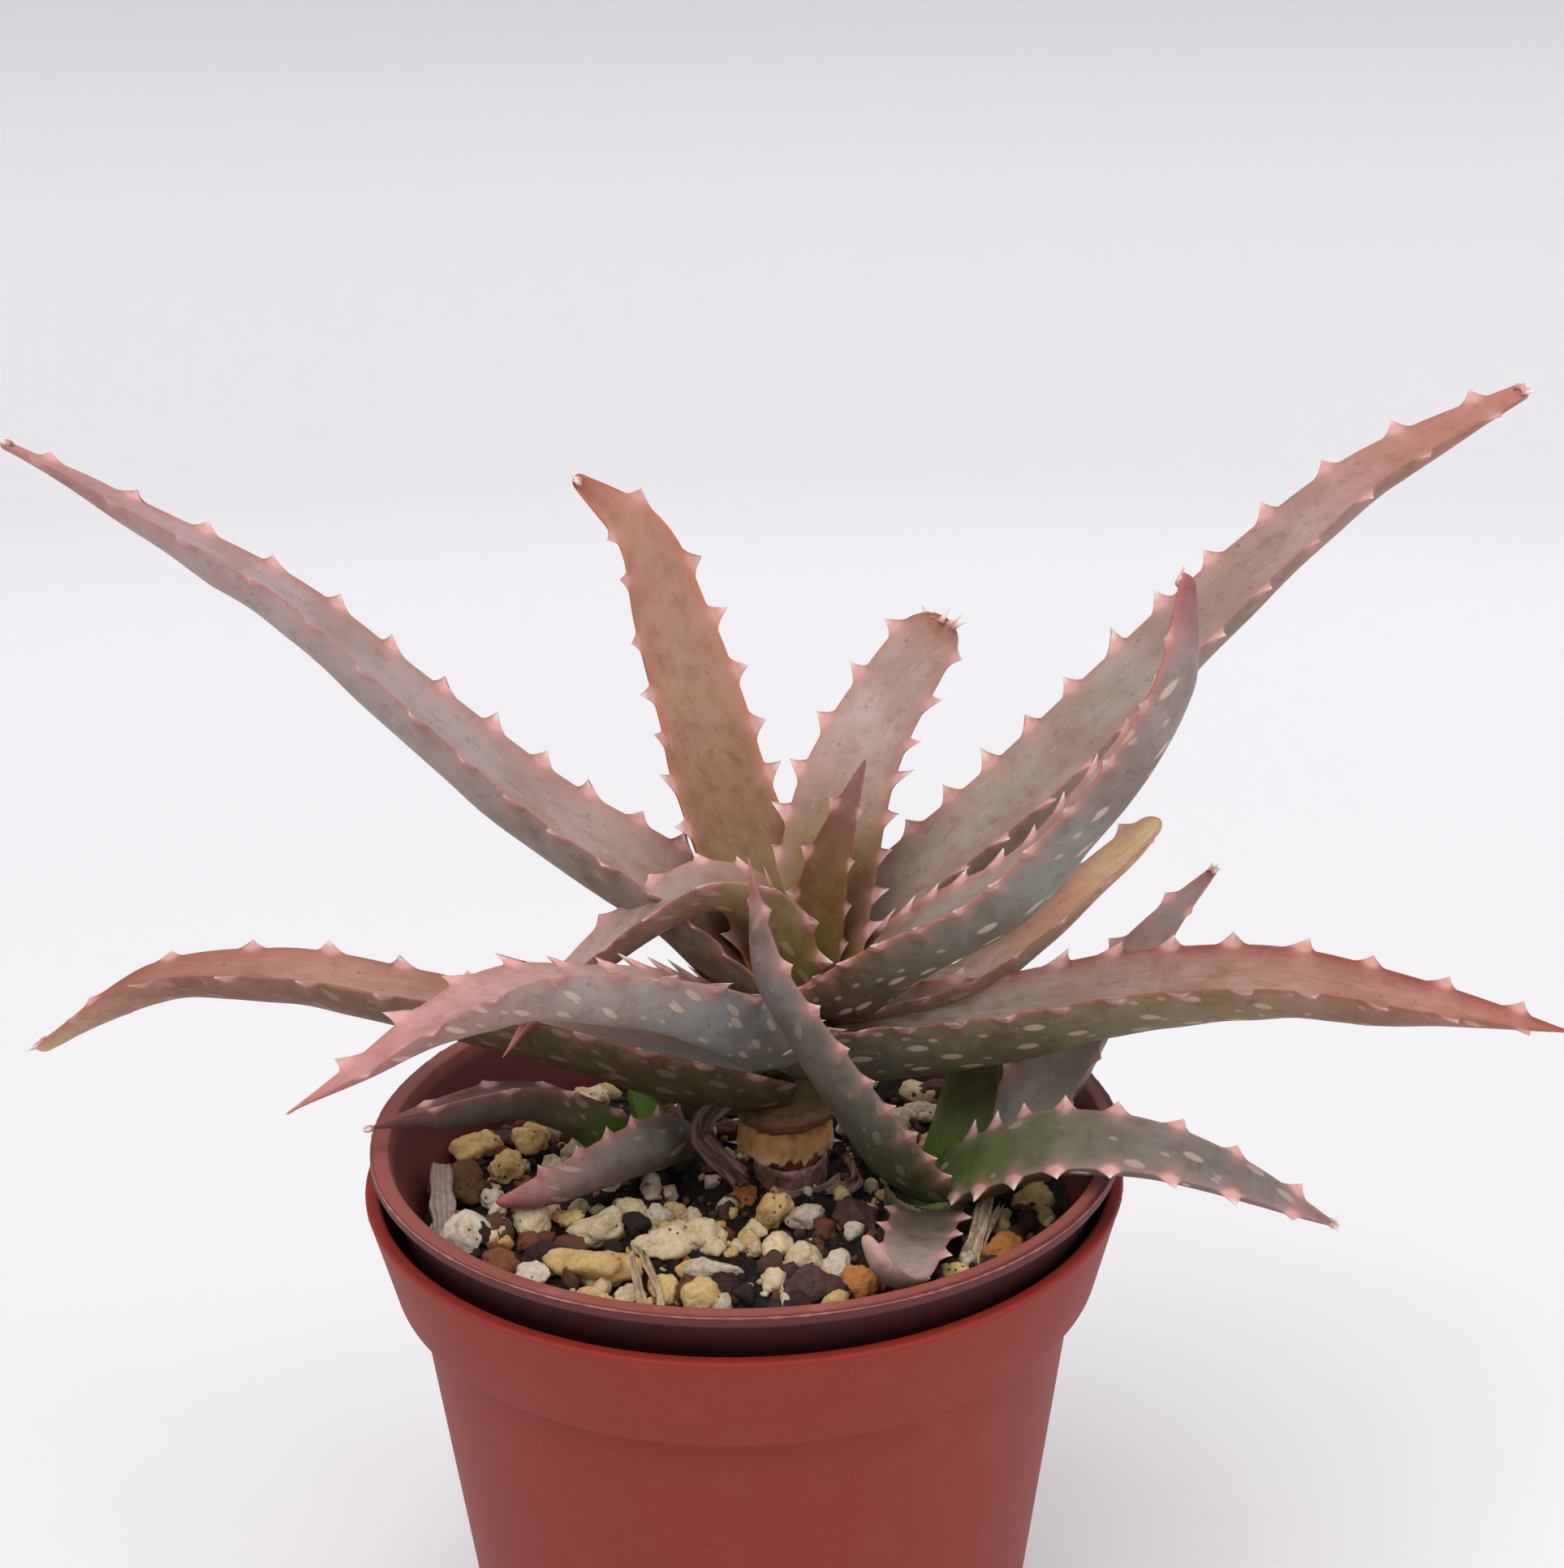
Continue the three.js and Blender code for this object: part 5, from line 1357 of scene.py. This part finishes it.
def thorn(name, root, point, radius):
    """A flattened thorn. Its radius falls as one less the share of the way from root to point, to the
    power of 1.5, and its line rises a little with the square of that share."""
    root, point = np.array(root, float), np.array(point, float)
    t = np.linspace(0, 1, 9)[:, None]
    middle = root + (point - root) * t + np.array([0, 0, 0.25]) * t ** 2
    along = unit(point - root)
    side = unit(np.cross(along, [0, 0, 1.0]))
    around = circle_angles(10)[None, :, None]
    ring = np.cos(around) * side + 0.5 * np.sin(around) * np.cross(side, along)
    grid = middle[:, None] + ring * radius * (1 - THORN_SHARPNESS * t[:, None]) ** 1.5
    tones = two_shades((196, 160, 124), (226, 200, 176), 4, 9, grid.shape)
    dress(closed_grid(name, grid * MM, tones), paper_look, "stem")


thorn("base_tooth_left_low", (-0.3, 4.4, 77.6), (-2.2, 3.6, 77.9), 0.8)
thorn("base_tooth_left_high", (-0.3, 5.5, 79.6), (-1.9, 5.1, 80.2), 0.75)
thorn("base_tooth_right", (10.2, 4.2, 77.9), (12, 3.4, 77.7), 0.8)

# %% [markdown]
# Nine leaves end in a small fan of teeth. Each tooth is a cone with a hollow flank, whose foot lies inside
# the leaf. The fan spreads in the plane of the leaf's margins, so it turns with the leaf's own roll.


# %% Tip teeth
TIP_TOOTH_FOOT, TIP_TOOTH_RADIUS, TIP_INSET, TIP_RISE = 0.3, 0.7, 0.6, 0.12


def tip_teeth(leaf, knots, roll, half, fan, length=1.5):
    """Small teeth in a fan round a leaf's tip, half its width away. fan has each one's angle in degrees
    from the leaf's own direction. Their radius falls as one less the height, to the power of 1.6."""
    curve, run = spine_curve(knots)
    root, along = (array[0] for array in carried(curve, run, run[-1:] - TIP_INSET))
    level = unit(np.cross(along, [0, 0, 1.0]))
    across = level * math.cos(math.radians(roll)) + np.cross(level, along) * math.sin(math.radians(roll))
    angle = np.radians(fan)[:, None]
    way = np.cos(angle) * along + np.sin(angle) * across + [0, 0, TIP_RISE]
    start = root + np.sin(angle) * across * half - TIP_TOOTH_FOOT * way
    first = unit(np.cross(way, np.cross(across, along)))
    second = np.cross(way, first)
    h, turn = np.linspace(0, 1, 7)[:, None, None], circle_angles(10)[:, None]
    reach = TIP_TOOTH_RADIUS * (1 - THORN_SHARPNESS * h) ** 1.6
    for n, (a, w, u, v) in enumerate(zip(start, way, first, second)):
        cone = a + w * (length + TIP_TOOTH_FOOT) * h + reach * (np.cos(turn) * u + 0.6 * np.sin(turn) * v)
        tones = two_shades((204, 154, 146), (232, 212, 200), 2, 7, cone.shape)
        dress(closed_grid(f"{leaf}_tip_tooth_{n + 1}", cone * MM, tones), paper_look, "grey_leaf")


tip_teeth("leaf_upper_left", [[-67, 16, 154], [-84, 18, 162.5]], -4, 0.6, [-70, -25, 20, 60], 1.6)
tip_teeth("leaf_upper_right", [[78.5, 28, 155.5], [97, 30, 164]], -16, 1.0, [-75, -30, 15, 65], 1.5)
tip_teeth("leaf_back_left", [[-11, 28, 148], [-19, 27, 155.5]], 12, 0.8, [-60, -10, 40], 1.5)
tip_teeth("leaf_back_right", [[20.5, 26, 130], [26, 29, 137]], 0, 3.6, [-66, -30, 4, 40, 70], 2.1)
tip_teeth("leaf_right_curved", [[44, -19, 143], [45.5, -20, 153]], -14, 1.2, [-50, -5, 40], 1.4)
tip_teeth("leaf_lower_left", [[-72, 9, 99.5], [-86, 10, 90]], -4, 1.2, [-80, -35, 10, 70], 1.8)
tip_teeth("right_offset_right", [[55, -20.5, 84.6], [66, -21, 78.5]], -20, 0.3, [-65, -15, 45], 1.3)
tip_teeth("right_offset_back", [[51.5, 14, 101], [59, 17, 107.5]], 0, 0.5, [-50, 0, 50], 1.1)
tip_teeth("left_offset_left", [[-37, -3, 87], [-44, -7, 86]], -14, 0.3, [-70, -10, 60], 1.1)

# %% [markdown]
# A strip is a flat ribbon along a curve. It serves for two papery scraps beside the stem, and later for the
# withered leaf, bark and straws. Noise that is fast across and slow along makes its grooves, and the ends
# are torn.


# %% Strips
STRIP_STEP, STRIP_SIDES, GROOVE_STRETCH = 0.3, 36, 8


def strip(name, knots, width, thickness, tones, seed, twist=(0, 0), crease=0.3, torn=0.5):
    """A flat oval section along a curve: across it the cosine of an angle times half the width, and up the
    sine times half the thickness. twist is its roll in degrees at each end, crease the depth of its
    grooves, and torn how far the points of its ends are moved along it."""
    curve, run = spine_curve(knots)
    at = np.linspace(0, run[-1], int(run[-1] / STRIP_STEP) + 3)
    centre, along = carried(curve, run, at)
    level = unit(np.cross(along, [0, 0, 1.0]))
    turn = np.radians(np.interp(at / run[-1], [0, 1], twist))[:, None]
    side = level * np.cos(turn) + np.cross(along, level) * np.sin(turn)
    top = np.cross(side, along)
    around = circle_angles(STRIP_SIDES)[None]
    s, n, far = np.broadcast_arrays(np.cos(around), np.sin(around), at[:, None])
    grain = ripple(np.dstack([s * width, n * 0.5, far / GROOVE_STRETCH]), 0.9, seed)
    edge = 1 + 0.16 * ripple(np.dstack([0 * s, 0 * n, far]), 2.5, seed + 1)
    ends = np.abs(2 * at[:, None] / run[-1] - 1) ** 6 * np.sign(at[:, None] / run[-1] - 0.5)
    lean = torn * ends * ripple(np.dstack([s * width, n, 0 * s]), 1.2, seed + 2)
    out = s * width / 2 * edge
    rise = n * thickness / 2 * (1 + 1.3 * crease * grain) + crease * grain * thickness
    grid = (centre[:, None] + side[:, None] * out[..., None] + along[:, None] * lean[..., None]
            + top[:, None] * rise[..., None])
    low, high = linear(tones[0]), linear(tones[1])
    colour = low + (high - low) * (0.5 + 0.5 * grain).clip(0, 1)[..., None]
    return closed_grid(name, grid * MM, {"tint": colour})


scrap = strip("papery_scrap", [[10.6, 0.2, 73.4], [12.3, -0.6, 73.6], [13, -0.6, 75], [12.6, 0, 77]],
              2.4, 0.3, ((112, 86, 74), (168, 140, 124)), 64, (10, 80), 0.9, 0.8)
dress(scrap, paper_look, "stem")
flap = strip("papery_flap", [[3.4, 0.6, 72.4], [6.5, 0.2, 72.3], [9.6, 0.4, 72.8], [11.6, 1.2, 73.8]],
             1.8, 0.3, ((120, 92, 84), (166, 136, 124)), 66, (60, 30), 0.5, 0.4)
dress(flap, paper_look, "stem")

# %% [markdown]
# The withered leaf hangs on the left of the stem. It has dried into a few dark strands that twist round
# each other, so each strand is a strip along the same curve, moved off it by a turning circle.

# %% Withered leaf
WITHERED_SWING = 2.6
withered_knots = np.array([[2, 1, 87], [-3, 0, 85], [-5, -1, 81], [-1, -3, 77]], float)
for n in range(4):
    swing = n * math.pi / 2 + np.linspace(0, WITHERED_SWING, 4)
    off = np.column_stack([0.75 * np.cos(swing), 0.3 * np.sin(swing), 0.6 * np.sin(swing)])
    tones = (((46, 30, 24), (92, 66, 52)), ((62, 42, 32), (120, 92, 74)))[n % 2]
    strand = strip(f"withered_strand_{n}", (withered_knots + off).tolist(), 1.5, 0.5, tones, 70 + n,
                   (40 * n, 40 * n + 110), 0.7, 1.2)
    stands_for = ["withered_leaf"] if n == 0 else []
    dress(strand, paper_look, "withered_leaf", *stands_for)

# %% [markdown]
# The potting mix is dark and fine, and fills the inner pot down to its floor. Its body is one surface of
# revolution whose top is pushed up and down by noise of three sizes.

# %% Mix body
SOIL_LEVEL, SOIL_CENTRE, SOIL_ROWS, MIX_SIDES = 72.0, 0.4, 84, 300
inset = WALL + GAP
shoulder = inner_base + INNER_COLLAR_FOOT
mix_floor = inner_base + WALL + GAP
soil_edge = inner_collar_foot - inset + COLLAR_TAPER * (SOIL_LEVEL - shoulder - WALL)


def soil_height(x, y):
    """Height of the mix: its level and noise of three sizes."""
    flat = np.stack([x, y, 0 * x], axis=-1)
    waves = 0.7 * ripple(flat, 11.0, 81) + 0.4 * ripple(flat, 3.6, 82)
    return SOIL_LEVEL + waves + 0.25 * ripple(flat, 1.3, 83)


low_reach = inner_base_radius - inset + BODY_TAPER * (mix_floor - inner_base) - WALL
high_reach = inner_base_radius - inset + BODY_TAPER * (shoulder - WALL - inner_base) - GAP
wall_radius = [SOIL_CENTRE, low_reach, high_reach, soil_edge - GAP]
wall_height = [mix_floor, mix_floor, shoulder - WALL - GAP, SOIL_LEVEL - 2 * GAP]
mix_radius = np.append(wall_radius, np.linspace(soil_edge, SOIL_CENTRE, SOIL_ROWS))[:, None]
mix_height = np.append(wall_height, np.full(SOIL_ROWS, SOIL_LEVEL))[:, None]
around = circle_angles(MIX_SIDES)
mix_x, mix_y = mix_radius * np.cos(around) + INNER_SHIFT, mix_radius * np.sin(around)
on_top = (np.arange(len(mix_radius)) >= len(wall_radius))[:, None]
roughened = np.clip((soil_edge - mix_radius) / 1.5, 0, 1) * on_top
mix_z = mix_height + roughened * (soil_height(mix_x, mix_y) - SOIL_LEVEL)
mix_body = closed_grid("mix_body", np.stack([mix_x, mix_y, mix_z], axis=-1) * MM)
print("mix reaches", round(float(soil_edge), 1), "mm from the middle")

# %% [markdown]
# Fine noise breaks the mix up into dark crumbs, slower noise gives it browner clumps, and small cells make
# pale specks. The two noises also bump its surface.

# %% Soil
soil_look, tree, shader = material("soil_look")
place = object_place(tree)
crumb = noise(tree, place, 900.0, 6.0, 0.75)
clump = noise(tree, place, 260.0, 5.0, 0.7)
brown = times(tree, step(tree, clump, 0.58, 0.7), 0.5)
colour = tint(tree, "MIX", step(tree, crumb, 0.45, 0.72), rgba((24, 17, 15)), rgba((66, 48, 38)))
colour = tint(tree, "MIX", brown, colour, rgba((86, 56, 40)))
colour = tint(tree, "MIX", cells(tree, place, 1100.0, 0.12, 0.2, 0.06), colour, rgba((150, 124, 92)))
tree.links.new(colour, shader.inputs["Base Color"])
shader.inputs["Roughness"].default_value = 0.95
raised = calc(tree, "MULTIPLY_ADD", clump, 1.2, crumb)
tree.links.new(bumped(tree, 0.9, 0.0012, raised), shader.inputs["Normal"])
dress(mix_body, soil_look, "potting_mix", "potting_mix")
print("soil nodes", len(tree.nodes))

# %% [markdown]
# On the mix lie pumice, yellow and orange grit and dark lava. A pebble starts as a ball. Soft flat sides
# come from a sum: each random direction cuts the ball at its own distance, and a high power blends the
# cuts. Noise then adds lumps. All stones of one fineness are worked out together as one array.

# %% Pebbles
FLAT_SIDES, CUT_POWER = 10, 9


def ball(subdivisions):
    """Points and triangles of a ball of radius 1 made from a twenty-sided solid."""
    draft = bmesh.new()
    bmesh.ops.create_icosphere(draft, subdivisions=subdivisions, radius=1.0)
    mesh = bpy.data.meshes.new("ball")
    draft.to_mesh(mesh)
    draft.free()
    points, faces = np.empty(len(mesh.vertices) * 3), np.empty(len(mesh.loops), np.int32)
    mesh.vertices.foreach_get("co", points)
    mesh.loops.foreach_get("vertex_index", faces)
    bpy.data.meshes.remove(mesh)
    return points.reshape(-1, 3), faces.reshape(-1, 3)


def pebbles(name, subdivisions, centre, size, turn, tones, seed):
    """centre and size have a row of three numbers for each stone, turn an angle, tones a linear colour. In
    a direction, each cut gives the direction's run towards it over the cut's distance, to the power of
    nine. The radius is one plus the sum of these, to the power of minus a ninth."""
    sphere, faces = ball(subdivisions)
    count = len(centre)
    draw = np.random.default_rng(seed)
    facing = unit(draw.normal(size=(count, FLAT_SIDES, 3)))
    distance = draw.uniform(0.56, 0.95, (count, 1, FLAT_SIDES))
    cut = np.clip(np.einsum("nk,sfk->snf", sphere, facing) / distance, 0, None)
    radius = (1 + (cut ** CUT_POWER).sum(axis=2)) ** (-1 / CUT_POWER)
    own = sphere + 40 * draw.uniform(size=(count, 1, 3))
    radius *= 1 + (0.12 * ripple(own, 1.1, seed) + 0.07 * ripple(own, 0.45, seed + 1)
                   + 0.03 * ripple(own, 0.2, seed + 2))
    shape = sphere * radius[..., None] * np.asarray(size)[:, None] / 2
    x = shape[..., 0] * np.cos(turn)[:, None] - shape[..., 1] * np.sin(turn)[:, None]
    y = shape[..., 0] * np.sin(turn)[:, None] + shape[..., 1] * np.cos(turn)[:, None]
    points = (np.dstack([x, y, shape[..., 2]]) + np.asarray(centre)[:, None]).reshape(-1, 3)
    every = (faces + (np.arange(count) * len(sphere))[:, None, None]).reshape(-1, 3)
    tones = np.repeat(tones, len(sphere), axis=0)
    return build_mesh(name, points * MM, np.zeros((0, 4), int), every, {"tint": tones})


print("a coarse ball has", len(ball(2)[1]), "faces")

# %% [markdown]
# Every stone keeps its own colour on its points. The shared look adds rusty stains, chalky light and dark
# patches, and the small dark holes of pumice, which are also dents.

# %% Stone look
stone_look, tree, shader = material("stone_look")
place = object_place(tree)
chalky = noise(tree, place, 1500.0, 5.0, 0.7)
stain = noise(tree, place, 330.0, 4.0, 0.6)
holes = cells(tree, place, 1250.0, 0.16, 0.3, 0.16)
colour = stored(tree, "tint", "Color")
for mode, mask, over in (
        ("MULTIPLY", times(tree, step(tree, stain, 0.5, 0.7), 0.6), (240, 204, 154)),
        ("MULTIPLY", times(tree, step(tree, chalky, 0.42, 0.68), 0.36), (186, 156, 124)),
        ("SCREEN", times(tree, step(tree, chalky, 0.5, 0.3), 0.25), (80, 78, 72)),
        ("MIX", times(tree, holes, 0.85), (48, 34, 24))):
    colour = tint(tree, mode, mask, colour, rgba(over))
tree.links.new(colour, shader.inputs["Base Color"])
shader.inputs["Roughness"].default_value = 0.85
shader.inputs["Subsurface Weight"].default_value = 0.05
shader.inputs["Subsurface Scale"].default_value = 0.001
raised = calc(tree, "MULTIPLY_ADD", holes, -1.0, calc(tree, "MULTIPLY_ADD", stain, 0.8, chalky))
tree.links.new(bumped(tree, 0.6, 0.0006, raised), shader.inputs["Normal"])
print("stone nodes", len(tree.nodes))

# %% [markdown]
# The larger stones that the photograph shows are placed one by one: x, y, width, depth and height as a
# share of the width, and kind. More of the same kinds fill the part of the mix that the leaves hide.

# %% Stones
KINDS = {"white": (228, 214, 192), "cream": (232, 212, 174), "yellow": (230, 198, 134),
         "orange": (196, 126, 66), "rust": (126, 74, 46), "brown": (104, 68, 44), "dark": (48, 29, 23),
         "lava": (88, 58, 52), "olive": (112, 82, 42)}
STONES = [
    (-33, -9.3, 6, 0.9, "white"), (-29, -7.7, 3.6, 1, "brown"), (-25, -7.2, 4.8, 0.9, "cream"),
    (-28, -15, 4.4, 0.9, "rust"), (-23, -14.7, 5.3, 0.7, "dark"), (-16.7, -8.5, 7.2, 0.62, "cream"),
    (-17.5, -17.2, 9.3, 0.58, "yellow"), (-24.3, -18.9, 4.2, 0.8, "white"), (-17, -22.8, 4, 0.7, "yellow"),
    (-10, -12.8, 6.8, 0.66, "cream"), (-5, -11.5, 5.3, 0.8, "cream"), (-8, -8.9, 3.4, 0.9, "yellow"),
    (-7, -17.7, 2.8, 1, "yellow"), (-4.5, -17.8, 6.6, 0.5, "white"), (-9.5, -22.2, 3.8, 1, "yellow"),
    (-5, -24.2, 5.1, 0.8, "yellow"), (3, -5.8, 4.4, 1.2, "yellow"), (0, -11, 3.6, 1, "yellow"),
    (3.2, -13.3, 4.4, 0.8, "cream"), (-0.9, 0, 3.7, 0.9, "orange"), (6.9, -6.6, 3.9, 0.9, "white"),
    (6.3, -16.6, 4.7, 0.8, "cream"), (9.9, -17.9, 3.8, 1, "white"), (6.6, -23.3, 7.1, 0.65, "lava"),
    (12, -21.4, 4.3, 1.05, "orange"), (12.6, -7.5, 5.4, 0.8, "lava"), (-14, -5, 3.6, 0.9, "cream"),
    (-10.6, -5.8, 3.3, 1, "white"), (-20.5, -10.7, 4.2, 0.8, "brown"), (-30, 8, 4.5, 0.9, "yellow"),
    (-34, 12.7, 5.8, 0.8, "yellow"), (-27, 13.4, 4.8, 0.85, "yellow"), (-21, 11, 5.1, 0.9, "cream"),
    (-34.7, 2.3, 6.9, 0.8, "olive"), (29.3, -14.8, 5.3, 0.8, "orange"), (34.4, -2.4, 4.9, 0.8, "yellow"),
    (-31, 0, 3.2, 0.8, "white"), (2.5, -17.6, 3.5, 0.9, "lava"), (-2.7, -21.8, 4, 0.8, "dark"),
    (-13.4, -21.2, 3.6, 0.8, "cream"), (-21, -6, 3.6, 0.8, "yellow"), (0.6, -7.6, 3, 0.9, "cream"),
    (16.4, -13.2, 4, 0.8, "dark"), (-25.4, -11.2, 3, 0.9, "rust"), (33, -9.4, 3.4, 0.8, "dark"),
]
STEMS_AT = [(5.6, 6, 6), (22, -4, 6.5), (-9, 11, 5)]
HIDDEN_COUNT, MIX_REACH, LEAST_APART, STONE_GROWTH, STONE_RISE = 70, 35, 4, 1.15, 0.3

draw = np.random.default_rng(91)
angles = draw.uniform(-0.3, 3.3, HIDDEN_COUNT)
reaches = MIX_REACH * draw.uniform(0.1, 1, HIDDEN_COUNT) ** 0.5
widths = draw.uniform(3, 6, HIDDEN_COUNT)
kinds = draw.choice(["cream", "yellow", "white", "orange", "lava", "rust"], HIDDEN_COUNT)
rows = list(STONES)
for angle, reach, width, kind in zip(angles, reaches, widths, kinds):
    x, y = reach * math.cos(angle), abs(reach * math.sin(angle)) + 3
    from_stems = min(math.hypot(x - sx, y - sy) - room - width / 2 for sx, sy, room in STEMS_AT)
    from_stones = min(math.hypot(x - stone[0], y - stone[1]) for stone in STONES)
    if math.hypot(x, y) < MIX_REACH and from_stems > 0 and from_stones > LEAST_APART:
        rows.append((x, y, width, 0.8, kind))
middle = np.array([row[:2] for row in rows])
width = np.array([row[2] for row in rows]) * STONE_GROWTH
share = np.array([row[3] for row in rows])
size = np.column_stack([width, width * share, width * np.minimum(share, 1.25) * 0.92])
height = soil_height(middle[:, 0], middle[:, 1]) + STONE_RISE * size[:, 2]
centre = np.column_stack([middle + [INNER_SHIFT, 0], height])
tones = linear([KINDS[row[4]] for row in rows]) * draw.uniform(0.88, 1.1, (len(rows), 1))
turn = draw.uniform(-0.5, 0.5, len(rows))
dress(pebbles("stones", 4, centre, size, turn, tones, 93), stone_look, "potting_mix")
print("stones", len(rows), "of which", len(STONES), "are placed by hand")

# %% [markdown]
# Between the stones lies grit of two sizes: small chips of pumice and lava, and fine grains, most of them
# dark. They are scattered at random over the disc. Taking the square root of an even draw for the radius
# spreads them evenly over its area. A fine grain covers a few pixels, so eighty faces are enough for it.


# %% Grit
GRAIN_RISE = 0.22


def scatter(name, count, sides, sizes, kinds, chances, seed):
    """count grains at random on the mix, clear of the stems. sizes has the least and the most. A grain's
    distance from the middle is the reach times the square root of an even draw."""
    draw = np.random.default_rng(seed)
    reach = (soil_edge - sizes[1] / 2) * draw.uniform(0, 1, count) ** 0.5
    bearing = draw.uniform(0, 2 * math.pi, count)
    x, y = reach * np.cos(bearing), reach * np.sin(bearing)
    from_stems = np.min([np.hypot(x - sx, y - sy) - room for sx, sy, room in STEMS_AT], axis=0)
    size = draw.uniform(*sizes, count)[:, None] * draw.uniform(0.7, 1.1, (count, 3))
    tones = linear([KINDS[kind] for kind in draw.choice(kinds, count, p=chances)])
    tones *= draw.uniform(0.75, 1.05, (count, 1))
    place = np.column_stack([x + INNER_SHIFT, y, soil_height(x, y) + GRAIN_RISE * size[:, 2]])
    turn = draw.uniform(0, 6.28, count)
    clear = from_stems > -1
    dress(pebbles(name, sides, place[clear], size[clear], turn[clear], tones[clear], seed + 1),
          stone_look, "potting_mix")
    print(name, int(clear.sum()), "grains")


scatter("chips", 340, 3, (2.0, 3.9), ["cream", "yellow", "white", "brown", "rust", "lava", "dark"],
        [0.24, 0.2, 0.1, 0.14, 0.1, 0.1, 0.12], 95)
scatter("grit", 1000, 2, (0.7, 1.9), ["dark", "brown", "cream", "yellow", "rust", "orange"],
        [0.4, 0.22, 0.12, 0.1, 0.1, 0.06], 97)

# %% [markdown]
# A piece of grey bark leans against the pot's wall on the left, and dry straws stand in the grit. All are
# strips. The bark is as weathered as the stones, so it shares their look.

# %% Bark and straws
bark = strip("bark", [[-35.4, -7.6, 72.2], [-36, -3.4, 74.6], [-36.5, 0.8, 77]], 2.7, 1.7,
             ((142, 120, 110), (184, 162, 150)), 101, (4, -6), 0.05, 0.35)
dress(bark, stone_look, "potting_mix")
for name, knots, width, seed in (
        ("straw_front_left", [[-11, -27, 71], [-12, -23.5, 74.4], [-12.9, -20.4, 77]], 1.0, 103),
        ("straw_front_right", [[-9.6, -27, 71], [-9.8, -24, 74], [-11.6, -20.6, 76.9]], 0.9, 105),
        ("straw_right", [[24, -18, 70.8], [26.4, -13, 73.4], [28, -8, 75.8]], 2.2, 107),
        ("straw_right_thin", [[26.2, -17, 71], [27.6, -12.4, 73.6], [29.6, -9.4, 75.6]], 0.9, 109)):
    straw = strip(name, knots, width, 0.7, ((164, 136, 108), (220, 196, 162)), seed, (10, -20), 0.25, 0.8)
    dress(straw, straw_look, "potting_mix")
